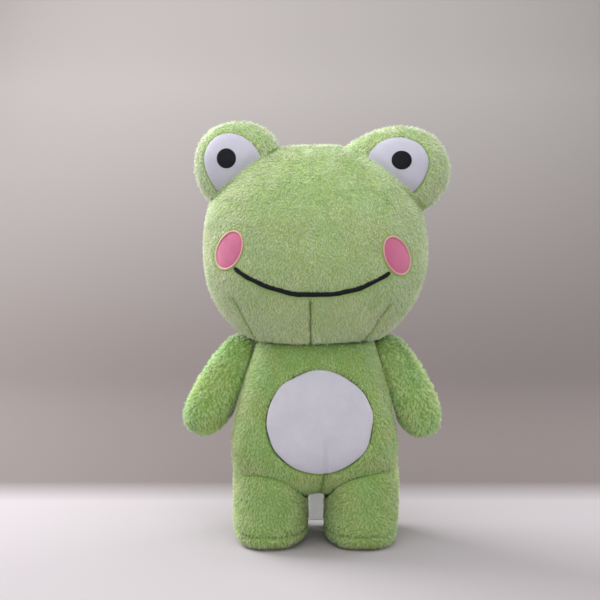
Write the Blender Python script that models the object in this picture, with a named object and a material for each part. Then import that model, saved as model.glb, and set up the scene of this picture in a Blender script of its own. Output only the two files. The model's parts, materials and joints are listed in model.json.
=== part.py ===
"""A stuffed frog standing on two short legs: sewn plush covers over fibre stuffing.

Metres, +Z up, origin on the floor between the soles. The frog faces -Y, and +X is on
the right of someone who looks at its face.
"""
import math

import bmesh
import bpy
from mathutils import Matrix, Vector

for old_object in list(bpy.data.objects):
    bpy.data.objects.remove(old_object)

# Driving dimensions
NECK_HEIGHT = 0.1695
HIP_AXIS_HEIGHT = 0.090

HEAD_WIDTH = 0.184
HEAD_FRONT_DEPTH = 0.075
HEAD_BACK_DEPTH = 0.072
HEAD_RISE = 0.088
HEAD_DROP = 0.086

EYE_BUMP_WIDTH = 0.081
EYE_BUMP_DEPTH = 0.054
EYE_BUMP_HEIGHT = 0.081
EYE_BUMP_FORWARD = 0.004
EYE_WHITE_WIDTH = 0.060
EYE_WHITE_HEIGHT = 0.061
PUPIL_WIDTH = 0.0155

BODY_WIDTH = 0.137
BODY_ROUND_RADIUS = 0.054
BELLY_WIDTH = 0.084

ARM_LENGTH = 0.092
ARM_WIDTH = 0.042
ARM_DEPTH = 0.042
ARM_HANG_ANGLE = math.radians(29.5)
SHOULDER_DROP = 0.0195
SHOULDER_INSET = 0.018
SHOULDER_PROUD = 0.009

LEG_WIDTH = 0.0586
LEG_DEPTH = 0.090
LEG_SPREAD = 0.0381
FOOT_SWELL_HEIGHT = 0.030
LEG_BITE = 0.040
SOLE_SEAM_HEIGHT = 0.0125
SOLE_FLAT_CUT = 0.0005

CHEEK_WIDTH = 0.021
CHEEK_HEIGHT = 0.034
CHEEK_LEAN = math.radians(25)
CHEEK_BORDER = 0.0020
MOUTH_LINE_WIDTH = 0.0036

LABEL_WIDTH = 0.014
LABEL_CLEAR_OF_FLOOR = 0.004
LABEL_BACK = 0.031

# Cloth and clearances
COVER_THICKNESS = 0.0015
PATCH_THICKNESS = 0.0010
LABEL_THICKNESS = 0.0010
SEAM_GAP = 0.0003
FILLING_GAP = 0.0006
JOINT_GAP = 0.0008
SHOULDER_GAP = 0.0005
CUT_REACH = 0.5

# Roundness of the forms: 2 is an ellipse, and more is squarer
HEAD_TOP_POWER = 2.4
HEAD_CHIN_POWER = 2.2
HEAD_LEVEL_POWER = 2.2
EYE_BUMP_POWER = 2.15
BODY_SIDE_POWER = 3.8
BODY_CHEST_POWER = 2.6
ARM_END_POWER = 2.8
ARM_LEVEL_POWER = 2.2
LEG_TOP_POWER = 5.0
FOOT_POWER = 6.0
LEG_LEVEL_POWER = 2.5

# Shading: folds sharper than this show as edges
SHARP_ANGLE = math.radians(40)

# Places and proportions, as shares of the sizes that they follow
neck_cut_share = 0.7227
head_cut_share = 0.8547
body_taper_share = 0.3147
belly_rise_share = 0.1864
arm_top_width_share = 0.86
eye_bump_place_shares = (0.696, 0.722)
eye_white_place_shares = (0.0, 0.06)
pupil_place_shares = (0.17, 0.35)
cheek_place_shares = (0.723, 0.053)
mouth_half_width_share = 0.665
mouth_end_drop_share = 0.100
mouth_sag_share = 0.215

# Mesh counts: rows from pole to pole, columns round
HEAD_MESH = (14, 28)
EYE_BUMP_MESH = (10, 20)
BODY_MESH = (14, 32)
ARM_MESH = (10, 18)
LEG_MESH = (10, 22)
OUTLINE_POINTS = 32
MOUTH_POINTS = 14
MOUTH_END_POINTS = 4

# Heights and places that follow from the driving dimensions
head_centre = Vector((0, 0, NECK_HEIGHT + head_cut_share * HEAD_DROP))
body_rise = (NECK_HEIGHT - HIP_AXIS_HEIGHT) / neck_cut_share
body_floor = HIP_AXIS_HEIGHT - BODY_ROUND_RADIUS
shoulder_height = NECK_HEIGHT - SHOULDER_DROP
leg_top = body_floor + LEG_BITE


def swell(cosine, power):
    """A cosine or sine bent towards a squarer or rounder curve, with its sign kept."""
    return math.copysign(abs(cosine) ** (2 / power), cosine)


def egg(centre, half_width, depths, rise, drop, powers, lean=0.0, top_share=1.0):
    """A rounded form: depths are front and back, powers are top, bottom and level.

    It leans in the XZ plane about its centre, and its width shrinks to top_share there.
    """
    front, back = depths
    top_power, bottom_power, level_power = powers
    turn = Matrix.Rotation(lean, 3, "Y")

    def surface(along, around):
        climb = math.pi * (along - 0.5)
        heading = 2 * math.pi * around
        upper = climb > 0
        power = top_power if upper else bottom_power
        ring = swell(math.cos(climb), power) if 0 < along < 1 else 0.0
        level = swell(math.sin(climb), power)
        narrowing = 1 + (top_share - 1) * (level + 1) / 2
        across = half_width * narrowing * ring * swell(math.cos(heading), level_power)
        deep = ring * swell(math.sin(heading), level_power)
        deep *= narrowing * (back if deep > 0 else front)
        height = level * (rise if upper else drop)
        return centre + turn @ Vector((across, deep, height))

    return surface


def body_surface(along, around):
    """The body: round about the hip axis below it, and drawn up to the neck above it."""
    sweep = math.pi * along
    heading = 2 * math.pi * around
    girth = swell(math.sin(sweep), BODY_SIDE_POWER) if 0 < along < 1 else 0.0
    across = -BODY_WIDTH / 2 * swell(math.cos(sweep), BODY_SIDE_POWER)
    lift = math.sin(heading)
    if lift <= 0:
        deep = BODY_ROUND_RADIUS * girth * math.cos(heading)
        return Vector((across, deep, HIP_AXIS_HEIGHT + BODY_ROUND_RADIUS * girth * lift))
    lift = girth * swell(lift, BODY_CHEST_POWER)
    deep = BODY_ROUND_RADIUS * girth * swell(math.cos(heading), BODY_CHEST_POWER)
    taper = 1 - body_taper_share * lift
    return Vector((across * taper, deep, HIP_AXIS_HEIGHT + body_rise * lift))


def body_side(height):
    """The body's half width at a height above the hip axis."""
    lift = (height - HIP_AXIS_HEIGHT) / body_rise
    girth = (1 - lift ** BODY_SIDE_POWER) ** (1 / BODY_SIDE_POWER)
    return BODY_WIDTH / 2 * girth * (1 - body_taper_share * lift)


def form_mesh(surface, counts, offset):
    """The closed form in triangles, moved out along its normals by offset."""
    rows, columns = counts
    form = bmesh.new()
    first = form.verts.new(surface(0, 0))
    last = form.verts.new(surface(1, 0))
    rings = []
    for row in range(1, rows):
        rings.append([form.verts.new(surface(row / rows, c / columns)) for c in range(columns)])
    for c in range(columns):
        beside = (c + 1) % columns
        form.faces.new((first, rings[0][beside], rings[0][c]))
        for lower, upper in zip(rings, rings[1:]):
            form.faces.new((lower[c], lower[beside], upper[beside], upper[c]))
        form.faces.new((rings[-1][c], rings[-1][beside], last))
    bmesh.ops.triangulate(form, faces=form.faces, quad_method="FIXED")
    bmesh.ops.recalc_face_normals(form, faces=form.faces)
    form.normal_update()
    moves = [(vert, vert.normal * offset) for vert in form.verts]
    for vert, move in moves:
        vert.co += move
    return form


def material(name, colour, roughness):
    """A plain cloth finish."""
    cloth = bpy.data.materials.new(name)
    cloth.use_nodes = True
    shader = cloth.node_tree.nodes["Principled BSDF"]
    shader.inputs["Base Color"].default_value = (*colour, 1)
    shader.inputs["Roughness"].default_value = roughness
    shader.inputs["Metallic"].default_value = 0
    return cloth


def place(name, form):
    """Puts a mesh into the scene as an object."""
    mesh = bpy.data.meshes.new(name)
    form.to_mesh(mesh)
    form.free()
    piece = bpy.data.objects.new(name, mesh)
    bpy.context.scene.collection.objects.link(piece)
    return piece


def cutter(name, form):
    """A helper that only cuts other pieces."""
    helper = place(name, form)
    helper.hide_render = True
    helper.display_type = "WIRE"
    return helper


def carve(piece, operation, helper):
    """Cuts a piece by a helper, or keeps only what lies inside it."""
    step = piece.modifiers.new(helper.name, "BOOLEAN")
    step.operation = operation
    step.solver = "EXACT"
    step.object = helper


def finish(piece, cloth, pivot=None):
    """Gives a piece its cloth, smooth shading and, if it moves, its joint's empty."""
    piece.data.materials.append(cloth)
    piece.data.shade_smooth()
    piece.data.set_sharp_from_angle(angle=SHARP_ANGLE)
    if pivot is not None:
        piece.parent = pivot
        piece.matrix_parent_inverse = Matrix.Translation(-pivot.location)
    return piece


def layer(name, surface, counts, low, high):
    """Cloth of even thickness that follows a form, from low to high outside its surface."""
    outer = form_mesh(surface, counts, high)
    inner = form_mesh(surface, counts, low)
    bmesh.ops.reverse_faces(inner, faces=inner.faces)
    inside = bpy.data.meshes.new(name + "_inside")
    inner.to_mesh(inside)
    inner.free()
    outer.from_mesh(inside)
    bpy.data.meshes.remove(inside)
    return place(name, outer)


def cover(name, surface, counts):
    """A sewn cover: the form's surface, and a cloth's thickness of it inwards."""
    return layer(name, surface, counts, -COVER_THICKNESS, 0)


def filling(name, surface, counts):
    """The stuffing inside a cover, on a mesh half as fine."""
    rows, columns = counts
    coarse = (rows // 2, columns // 2)
    return place(name, form_mesh(surface, coarse, -COVER_THICKNESS - FILLING_GAP))


def box_form(low, high):
    """A box between two corners."""
    form = bmesh.new()
    bmesh.ops.create_cube(form, size=1)
    for vert in form.verts:
        shares = [side + 0.5 for side in vert.co]
        vert.co = [a + (b - a) * share for a, b, share in zip(low, high, shares)]
    return form


def block(name, low, high):
    """A box-shaped cutter between two corners."""
    return cutter(name, box_form(low, high))


def prism(name, outline, back):
    """A cutter with an outline in XZ that runs from far in front of the frog to back."""
    form = bmesh.new()
    near = [form.verts.new((x, -CUT_REACH, z)) for x, z in outline]
    far = [form.verts.new((x, back, z)) for x, z in outline]
    form.faces.new(near)
    form.faces.new(list(reversed(far)))
    for at, _ in enumerate(outline):
        after = (at + 1) % len(outline)
        form.faces.new((near[at], far[at], far[after], near[after]))
    bmesh.ops.recalc_face_normals(form, faces=form.faces)
    return cutter(name, form)


def oval(centre_x, centre_z, half_width, half_height, lean=0.0):
    """An ellipse in XZ that leans sideways."""
    points = []
    for step in range(OUTLINE_POINTS):
        angle = 2 * math.pi * step / OUTLINE_POINTS
        across = half_width * math.cos(angle)
        upward = half_height * math.sin(angle)
        x = centre_x + across * math.cos(lean) + upward * math.sin(lean)
        z = centre_z - across * math.sin(lean) + upward * math.cos(lean)
        points.append((x, z))
    return points


def joint_empty(name, location):
    """An empty on a joint's axis."""
    empty = bpy.data.objects.new(name, None)
    empty.location = location
    bpy.context.scene.collection.objects.link(empty)
    return empty


green_head = material("pale_green_plush", (0.42, 0.56, 0.26), 0.95)
green_body = material("green_plush", (0.26, 0.42, 0.12), 0.95)
white_cloth = material("white_velour", (0.80, 0.80, 0.84), 0.85)
black_cloth = material("black_satin_stitch", (0.010, 0.010, 0.016), 0.5)
pink_cloth = material("pink_velour", (0.75, 0.18, 0.30), 0.85)
rim_thread = material("beige_border_thread", (0.62, 0.42, 0.34), 0.6)
fibre = material("polyester_fibre", (0.88, 0.88, 0.88), 1.0)
ribbon = material("white_satin_ribbon", (0.85, 0.85, 0.86), 0.4)

# Joints: the neck, and a shoulder and a hip on each side
neck = joint_empty("neck_axis", Vector((0, 0, NECK_HEIGHT)))

# Half spaces that part the covers at their seams
half_gap = SEAM_GAP / 2
in_front = block("in_front", (-CUT_REACH, -CUT_REACH, -CUT_REACH), (CUT_REACH, -half_gap, CUT_REACH))
behind = block("behind", (-CUT_REACH, half_gap, -CUT_REACH), (CUT_REACH, CUT_REACH, CUT_REACH))
on_left = block("on_left", (-CUT_REACH, -CUT_REACH, -CUT_REACH), (-half_gap, CUT_REACH, CUT_REACH))
on_right = block("on_right", (half_gap, -CUT_REACH, -CUT_REACH), (CUT_REACH, CUT_REACH, CUT_REACH))
above_neck = block(
    "above_neck",
    (-CUT_REACH, -CUT_REACH, NECK_HEIGHT + half_gap),
    (CUT_REACH, CUT_REACH, CUT_REACH),
)
below_neck = block(
    "below_neck",
    (-CUT_REACH, -CUT_REACH, -CUT_REACH),
    (CUT_REACH, CUT_REACH, NECK_HEIGHT - half_gap),
)
above_floor = block("above_floor", (-CUT_REACH, -CUT_REACH, 0), (CUT_REACH, CUT_REACH, CUT_REACH))

# Head: a face panel, two back panels and the stuffing
head_surface = egg(
    head_centre,
    HEAD_WIDTH / 2,
    (HEAD_FRONT_DEPTH, HEAD_BACK_DEPTH),
    HEAD_RISE,
    HEAD_DROP,
    (HEAD_TOP_POWER, HEAD_CHIN_POWER, HEAD_LEVEL_POWER),
)
for name, sides in (
    ("head_face_panel", [in_front]),
    ("head_back_left_panel", [behind, on_left]),
    ("head_back_right_panel", [behind, on_right]),
):
    panel = cover(name, head_surface, HEAD_MESH)
    for side in [above_neck, *sides]:
        carve(panel, "INTERSECT", side)
    finish(panel, green_head, neck)
head_filling = filling("head_stuffing", head_surface, HEAD_MESH)
carve(head_filling, "INTERSECT", above_neck)
finish(head_filling, fibre, neck)
head_outside = cutter("head_outside", form_mesh(head_surface, HEAD_MESH, SEAM_GAP))
clear_of_head = cutter("clear_of_head", form_mesh(head_surface, HEAD_MESH, JOINT_GAP))


def eye(side, word):
    """One eye bump with its white patch and its embroidered pupil."""
    half_width = EYE_BUMP_WIDTH / 2
    half_height = EYE_BUMP_HEIGHT / 2
    share_across, share_up = eye_bump_place_shares
    centre = head_centre + Vector((
        side * share_across * HEAD_WIDTH / 2,
        -EYE_BUMP_FORWARD,
        share_up * HEAD_RISE,
    ))
    depths = (EYE_BUMP_DEPTH / 2, EYE_BUMP_DEPTH / 2)
    powers = (EYE_BUMP_POWER, EYE_BUMP_POWER, EYE_BUMP_POWER)
    surface = egg(centre, half_width, depths, half_height, half_height, powers)

    front_half = block(
        f"bump_front_{word}",
        (-CUT_REACH, -CUT_REACH, -CUT_REACH),
        (CUT_REACH, centre.y - half_gap, CUT_REACH),
    )
    back_half = block(
        f"bump_back_{word}",
        (-CUT_REACH, centre.y + half_gap, -CUT_REACH),
        (CUT_REACH, CUT_REACH, CUT_REACH),
    )
    white_across, white_up = eye_white_place_shares
    white_x = centre.x + side * white_across * half_width
    white_z = centre.z + white_up * half_height
    white_sizes = (EYE_WHITE_WIDTH / 2, EYE_WHITE_HEIGHT / 2)
    grown_sizes = [size + SEAM_GAP for size in white_sizes]
    white_prism = prism(f"white_outline_{word}", oval(white_x, white_z, *white_sizes), centre.y)
    white_hole = prism(f"white_hole_{word}", oval(white_x, white_z, *grown_sizes), centre.y)

    front = cover(f"eye_bump_front_{word}", surface, EYE_BUMP_MESH)
    carve(front, "INTERSECT", front_half)
    carve(front, "DIFFERENCE", white_hole)
    carve(front, "DIFFERENCE", head_outside)
    finish(front, green_body, neck)
    back = cover(f"eye_bump_back_{word}", surface, EYE_BUMP_MESH)
    carve(back, "INTERSECT", back_half)
    carve(back, "DIFFERENCE", head_outside)
    finish(back, green_body, neck)
    stuffing = filling(f"eye_bump_stuffing_{word}", surface, EYE_BUMP_MESH)
    carve(stuffing, "DIFFERENCE", head_outside)
    finish(stuffing, fibre, neck)

    white = layer(f"eye_white_{word}", surface, EYE_BUMP_MESH, -COVER_THICKNESS, 0)
    carve(white, "INTERSECT", white_prism)
    carve(white, "DIFFERENCE", head_outside)
    finish(white, white_cloth, neck)

    pupil_across, pupil_up = pupil_place_shares
    pupil_outline = oval(
        centre.x + side * pupil_across * half_width,
        centre.z + pupil_up * half_height,
        PUPIL_WIDTH / 2,
        PUPIL_WIDTH / 2,
    )
    pupil_top = SEAM_GAP + PATCH_THICKNESS
    pupil = layer(f"pupil_{word}", surface, EYE_BUMP_MESH, SEAM_GAP, pupil_top)
    carve(pupil, "INTERSECT", prism(f"pupil_outline_{word}", pupil_outline, centre.y))
    finish(pupil, black_cloth, neck)


def cheek(side, word):
    """One pink cheek patch and the stitched border that holds it down."""
    share_across, share_up = cheek_place_shares
    middle = (side * share_across * HEAD_WIDTH / 2, head_centre.z + share_up * HEAD_RISE)
    sizes = (CHEEK_WIDTH / 2, CHEEK_HEIGHT / 2)
    lean = -side * CHEEK_LEAN
    inner_sizes = [size + SEAM_GAP for size in sizes]
    outer_sizes = [size + SEAM_GAP + CHEEK_BORDER for size in sizes]
    patch_prism = prism(f"cheek_outline_{word}", oval(*middle, *sizes, lean), 0)
    border_hole = prism(f"border_hole_{word}", oval(*middle, *inner_sizes, lean), 0)
    border_prism = prism(f"border_outline_{word}", oval(*middle, *outer_sizes, lean), 0)
    clear_sizes = [size + SEAM_GAP for size in outer_sizes]
    clear_of_cheek = prism(f"clear_of_cheek_{word}", oval(*middle, *clear_sizes, lean), 0)
    top = SEAM_GAP + PATCH_THICKNESS
    patch = layer(f"cheek_{word}", head_surface, HEAD_MESH, SEAM_GAP, top)
    carve(patch, "INTERSECT", patch_prism)
    finish(patch, pink_cloth, neck)
    border = layer(f"cheek_border_{word}", head_surface, HEAD_MESH, SEAM_GAP, top)
    carve(border, "INTERSECT", border_prism)
    carve(border, "DIFFERENCE", border_hole)
    finish(border, rim_thread, neck)
    return clear_of_cheek


def mouth(cheek_helpers):
    """The embroidered smile: an even line on an arc with round ends, stopped at the cheeks."""
    half_chord = mouth_half_width_share * HEAD_WIDTH / 2
    sag = mouth_sag_share * HEAD_DROP
    radius = (half_chord ** 2 + sag ** 2) / (2 * sag)
    arc_z = head_centre.z - mouth_end_drop_share * HEAD_DROP - sag + radius
    half_sweep = math.asin(half_chord / radius)
    half_line = MOUTH_LINE_WIDTH / 2
    outline = []
    for step in range(MOUTH_POINTS + 1):
        angle = half_sweep * (2 * step / MOUTH_POINTS - 1)
        outline.append((
            (radius + half_line) * math.sin(angle),
            arc_z - (radius + half_line) * math.cos(angle),
        ))
    for end in (1, -1):
        end_x = end * half_chord
        end_z = arc_z - radius * math.cos(half_sweep)
        for step in range(1, MOUTH_END_POINTS):
            turn = math.pi * step / MOUTH_END_POINTS
            if end < 0:
                turn = math.pi - turn
            along = half_line * math.sin(turn)
            outward = half_line * math.cos(turn)
            outline.append((
                end_x + end * (along * math.cos(half_sweep) + outward * math.sin(half_sweep)),
                end_z + along * math.sin(half_sweep) - outward * math.cos(half_sweep),
            ))
        if end > 0:
            for step in range(MOUTH_POINTS + 1):
                angle = half_sweep * (1 - 2 * step / MOUTH_POINTS)
                outline.append((
                    (radius - half_line) * math.sin(angle),
                    arc_z - (radius - half_line) * math.cos(angle),
                ))
    smile = layer("mouth_stitching", head_surface, HEAD_MESH, SEAM_GAP, SEAM_GAP + PATCH_THICKNESS)
    carve(smile, "INTERSECT", prism("mouth_outline", outline, 0))
    for helper in cheek_helpers:
        carve(smile, "DIFFERENCE", helper)
    finish(smile, black_cloth, neck)


cheeks = []
for side, word in ((-1, "left"), (1, "right")):
    eye(side, word)
    cheeks.append(cheek(side, word))
mouth(cheeks)

# Body: two front panels with the belly disc let in, a back panel and the stuffing
belly_height = HIP_AXIS_HEIGHT + belly_rise_share * body_rise
belly_radius = BELLY_WIDTH / 2
belly_prism = prism("belly_outline", oval(0, belly_height, belly_radius, belly_radius), 0)
hole_radius = belly_radius + SEAM_GAP
belly_hole = prism("belly_hole", oval(0, belly_height, hole_radius, hole_radius), 0)
for name, sides in (
    ("body_front_left_panel", [in_front, on_left]),
    ("body_front_right_panel", [in_front, on_right]),
    ("body_back_panel", [behind]),
):
    panel = cover(name, body_surface, BODY_MESH)
    for side in [below_neck, *sides]:
        carve(panel, "INTERSECT", side)
    if in_front in sides:
        carve(panel, "DIFFERENCE", belly_hole)
    finish(panel, green_body)
belly = layer("belly_disc", body_surface, BODY_MESH, -COVER_THICKNESS, 0)
carve(belly, "INTERSECT", belly_prism)
carve(belly, "INTERSECT", below_neck)
finish(belly, white_cloth)
body_filling = filling("body_stuffing", body_surface, BODY_MESH)
carve(body_filling, "INTERSECT", below_neck)
finish(body_filling, fibre)
body_outside = cutter("body_outside", form_mesh(body_surface, BODY_MESH, SEAM_GAP))
clear_of_body = cutter("clear_of_body", form_mesh(body_surface, BODY_MESH, JOINT_GAP))


def arm(side, word):
    """One arm: flat where it meets the body's side, which it turns against."""
    step = SHOULDER_INSET / 2
    slope = (body_side(shoulder_height - step) - body_side(shoulder_height + step)) / (2 * step)
    side_tilt = math.atan(slope)
    outward = Vector((side * math.cos(side_tilt), 0, math.sin(side_tilt)))
    seat = Vector((side * body_side(shoulder_height), 0, shoulder_height))
    pivot_place = seat + outward * SHOULDER_PROUD
    pivot = joint_empty(f"shoulder_axis_{word}", pivot_place)
    down = Vector((side * math.sin(ARM_HANG_ANGLE), 0, -math.cos(ARM_HANG_ANGLE)))
    centre = pivot_place + down * (ARM_LENGTH / 2 - SHOULDER_INSET)
    surface = egg(
        centre,
        ARM_WIDTH / 2,
        (ARM_DEPTH / 2, ARM_DEPTH / 2),
        ARM_LENGTH / 2,
        ARM_LENGTH / 2,
        (ARM_END_POWER, ARM_END_POWER, ARM_LEVEL_POWER),
        -side * ARM_HANG_ANGLE,
        arm_top_width_share,
    )
    seam_low = (-CUT_REACH, -CUT_REACH, -CUT_REACH)
    seam_high = (SHOULDER_GAP, CUT_REACH, CUT_REACH)
    seam_plane = box_form(seam_low, seam_high)
    across = Vector((-outward.z, 0, outward.x))
    for vert in seam_plane.verts:
        vert.co = seat + outward * vert.co.x + Vector((0, vert.co.y, 0)) + across * vert.co.z
    body_space = cutter(f"inside_of_shoulder_{word}", seam_plane)
    for name, half in (("front", in_front), ("back", behind)):
        panel = cover(f"arm_{name}_{word}", surface, ARM_MESH)
        carve(panel, "INTERSECT", half)
        carve(panel, "DIFFERENCE", body_space)
        carve(panel, "DIFFERENCE", clear_of_head)
        finish(panel, green_body, pivot)
    stuffing = filling(f"arm_stuffing_{word}", surface, ARM_MESH)
    carve(stuffing, "DIFFERENCE", body_space)
    carve(stuffing, "DIFFERENCE", clear_of_head)
    finish(stuffing, fibre, pivot)
    print(f"shoulder {word}: pivot {pivot_place[:]} axis {outward[:]}")


def leg(side, word):
    """One leg: its top is hollowed to the body's round underside, which it swings along."""
    pivot = joint_empty(f"hip_axis_{word}", Vector((side * LEG_SPREAD, 0, HIP_AXIS_HEIGHT)))
    surface = egg(
        Vector((side * LEG_SPREAD, 0, FOOT_SWELL_HEIGHT)),
        LEG_WIDTH / 2,
        (LEG_DEPTH / 2, LEG_DEPTH / 2),
        leg_top - FOOT_SWELL_HEIGHT,
        FOOT_SWELL_HEIGHT + SOLE_FLAT_CUT,
        (LEG_TOP_POWER, FOOT_POWER, LEG_LEVEL_POWER),
    )
    for name, half in (("front", in_front), ("back", behind)):
        panel = cover(f"leg_{name}_{word}", surface, LEG_MESH)
        carve(panel, "INTERSECT", half)
        carve(panel, "INTERSECT", above_sole)
        carve(panel, "DIFFERENCE", clear_of_body)
        finish(panel, green_body, pivot)
    sole = cover(f"sole_{word}", surface, LEG_MESH)
    carve(sole, "INTERSECT", in_sole)
    finish(sole, green_body, pivot)
    stuffing = filling(f"leg_stuffing_{word}", surface, LEG_MESH)
    carve(stuffing, "DIFFERENCE", clear_of_body)
    finish(stuffing, fibre, pivot)


above_sole = block(
    "above_sole_seam",
    (-CUT_REACH, -CUT_REACH, SOLE_SEAM_HEIGHT + half_gap),
    (CUT_REACH, CUT_REACH, CUT_REACH),
)
in_sole = block(
    "in_sole",
    (-CUT_REACH, -CUT_REACH, 0),
    (CUT_REACH, CUT_REACH, SOLE_SEAM_HEIGHT - half_gap),
)
for side, word in ((-1, "left"), (1, "right")):
    arm(side, word)
    leg(side, word)

# Care label: a blank folded ribbon sewn in under the body at the back
label_low = (-LABEL_WIDTH / 2, LABEL_BACK, LABEL_CLEAR_OF_FLOOR)
label_high = (LABEL_WIDTH / 2, LABEL_BACK + LABEL_THICKNESS, HIP_AXIS_HEIGHT)
label = place("care_label", box_form(label_low, label_high))
carve(label, "DIFFERENCE", body_outside)
finish(label, ribbon)
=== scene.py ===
"""The looks of a stuffed frog: short plush covers with their pile, velour patches and stitching."""
import json
import math

import bpy
import numpy as np
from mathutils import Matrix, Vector, kdtree


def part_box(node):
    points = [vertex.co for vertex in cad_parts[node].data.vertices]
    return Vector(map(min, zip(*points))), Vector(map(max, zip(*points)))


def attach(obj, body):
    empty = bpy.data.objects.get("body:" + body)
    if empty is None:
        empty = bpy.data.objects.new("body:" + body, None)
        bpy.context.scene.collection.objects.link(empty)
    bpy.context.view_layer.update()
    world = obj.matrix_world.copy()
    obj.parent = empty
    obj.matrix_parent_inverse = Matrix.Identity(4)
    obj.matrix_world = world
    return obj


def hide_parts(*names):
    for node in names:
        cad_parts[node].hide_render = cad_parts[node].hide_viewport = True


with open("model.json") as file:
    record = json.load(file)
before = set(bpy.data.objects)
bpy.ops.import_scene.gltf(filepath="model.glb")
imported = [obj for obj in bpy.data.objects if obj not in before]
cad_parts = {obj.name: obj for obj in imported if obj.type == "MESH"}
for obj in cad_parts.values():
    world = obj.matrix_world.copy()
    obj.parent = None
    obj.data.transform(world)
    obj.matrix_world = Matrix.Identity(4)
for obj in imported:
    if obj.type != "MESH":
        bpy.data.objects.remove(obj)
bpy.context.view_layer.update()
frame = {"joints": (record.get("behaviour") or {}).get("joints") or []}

# Head cover.
# Polyester plush, a face panel and two back panels sewn at the sides and down the back, with two
# darts and a short seam that round the chin in. The filling pushes it out, and the seams hold it in.

MM = 0.001
neck_height = next(joint["pos_m"][2] for joint in frame["joints"] if joint["name"] == "neck_turn")
face_low, face_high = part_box("head_face_panel")
head_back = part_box("head_back_left_panel")[1].y
HEAD_MIDDLE_SHARE = 0.4546
HEAD_DROP_SHARE = 1.17
CHIN_SEAM_X = -4 * MM
CHIN_SEAM_TOP = 211 * MM
LEFT_DART = ((-66 * MM, 211 * MM), (-48 * MM, 172 * MM))
RIGHT_DART = ((60 * MM, 206 * MM), (39 * MM, 172 * MM))
# The neck seam shows a little higher than the joint lies. Some seams are half hidden by the pile:
# they are drawn in as if they lay this far off.
NECK_RAISE = 2.8 * MM
NECK_CLEARANCE = 0.4 * MM
HIDDEN_SEAM = 1.4 * MM
HALF_HIDDEN_SEAM = 0.7 * MM
LUMP_HEIGHT = 0.7 * MM
LUMP_WAVELENGTH = 42 * MM
SEAM_DEPTH = 2 * MM
SEAM_WIDTH = 1.9 * MM
THREAD_AND_SHADE_WIDTH = 1.3 * MM
# A seam or a patch on the other side of the toy counts as this far off.
FAR = 1.0

neck_seam = neck_height + NECK_RAISE
head_middle = face_low.z + HEAD_MIDDLE_SHARE * (face_high.z - face_low.z)
HEAD = {
    "centre": (0, 0, head_middle),
    "half_width": face_high.x,
    "depths": (-face_low.y, head_back),
    "rise": face_high.z - head_middle,
    "drop": HEAD_DROP_SHARE * (head_middle - face_low.z),
    "powers": (2.4, 2.05, 2.2),
}


def bent(wave, power):
    """A cosine or sine bent towards a squarer curve, with its sign kept."""
    return np.sign(wave) * np.abs(wave) ** (2 / power)


def turned(lean, x, z):
    """Places in X and Z along the width and the height of a form that leans."""
    return x * math.cos(lean) - z * math.sin(lean), x * math.sin(lean) + z * math.cos(lean)


def egg(form):
    """The surface of a rounded form: shares along from its foot to its top, and shares around."""
    centre = np.array(form["centre"])
    front, back = form["depths"]
    top_power, bottom_power, level_power = form["powers"]
    top_share = form.get("top_share", 1.0)

    def surface(along, around):
        climb = math.pi * (along - 0.5)
        heading = 2 * math.pi * around
        power = np.where(climb > 0, top_power, bottom_power)
        ring = bent(np.maximum(np.cos(climb), 0), power)
        level = bent(np.sin(climb), power)
        ring = ring * (1 + (top_share - 1) * (level + 1) / 2)
        across = form["half_width"] * ring * bent(np.cos(heading), level_power)
        deep = ring * bent(np.sin(heading), level_power)
        deep = deep * np.where(deep > 0, back, front)
        height = level * np.where(climb > 0, form["rise"], form["drop"])
        x, z = turned(-form.get("lean", 0.0), across, height)
        return centre + np.stack([x, deep, z], axis=-1)

    return surface


def egg_front(form):
    """The y of a form's front surface at places in X and Z, or of its middle outside its outline."""
    top_power, bottom_power, level_power = form["powers"]

    def front(x, z):
        across, height = turned(form.get("lean", 0.0), x - form["centre"][0], z - form["centre"][2])
        power = np.where(height > 0, top_power, bottom_power)
        height = np.abs(height) / np.where(height > 0, form["rise"], form["drop"])
        room = np.maximum(1 - height ** power, 0) ** (level_power / power)
        room = np.maximum(room - np.abs(across / form["half_width"]) ** level_power, 0)
        return form["centre"][1] - form["depths"][0] * room ** (1 / level_power)

    return front


WAVES = 7
WAVE_SPREAD = (0.6, 1.5)
WAVES_PEAK = 3.2


def ripple(points, wavelength, seed):
    """Smooth noise from -1 to 1: plane waves in seeded directions, about a wavelength long."""
    random = np.random.default_rng(seed)
    total = np.zeros(len(points))
    for _ in range(WAVES):
        direction = random.normal(size=3)
        direction /= np.linalg.norm(direction)
        pitch = wavelength * random.uniform(*WAVE_SPREAD)
        total += np.sin(points @ direction * 2 * math.pi / pitch + random.uniform(0, 2 * math.pi))
    return np.clip(total / WAVES_PEAK, -1, 1)


def smooth(low, high, values):
    """0 below low, 1 above high, and an S curve between."""
    share = np.clip((values - low) / (high - low), 0, 1)
    return share * share * (3 - 2 * share)


def unit(vectors, least=0.0):
    """Vectors brought to length 1. Where some may be 0, least keeps them from being divided by 0."""
    return vectors / (np.linalg.norm(vectors, axis=1)[:, None] + least)


def line_distance(points, start, end):
    """The distance in the front view from points to the line between two places in X and Z."""
    flat = points[:, [0, 2]]
    start, end = np.array(start), np.array(end)
    run = end - start
    share = np.clip((flat - start) @ run / (run @ run), 0, 1)
    return np.linalg.norm(flat - (start + share[:, None] * run), axis=1)


def new_mesh(name, points, faces):
    """A smooth mesh of points and faces."""
    mesh = bpy.data.meshes.new(name)
    mesh.from_pydata(points, [], faces)
    mesh.shade_smooth()
    return mesh


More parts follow.
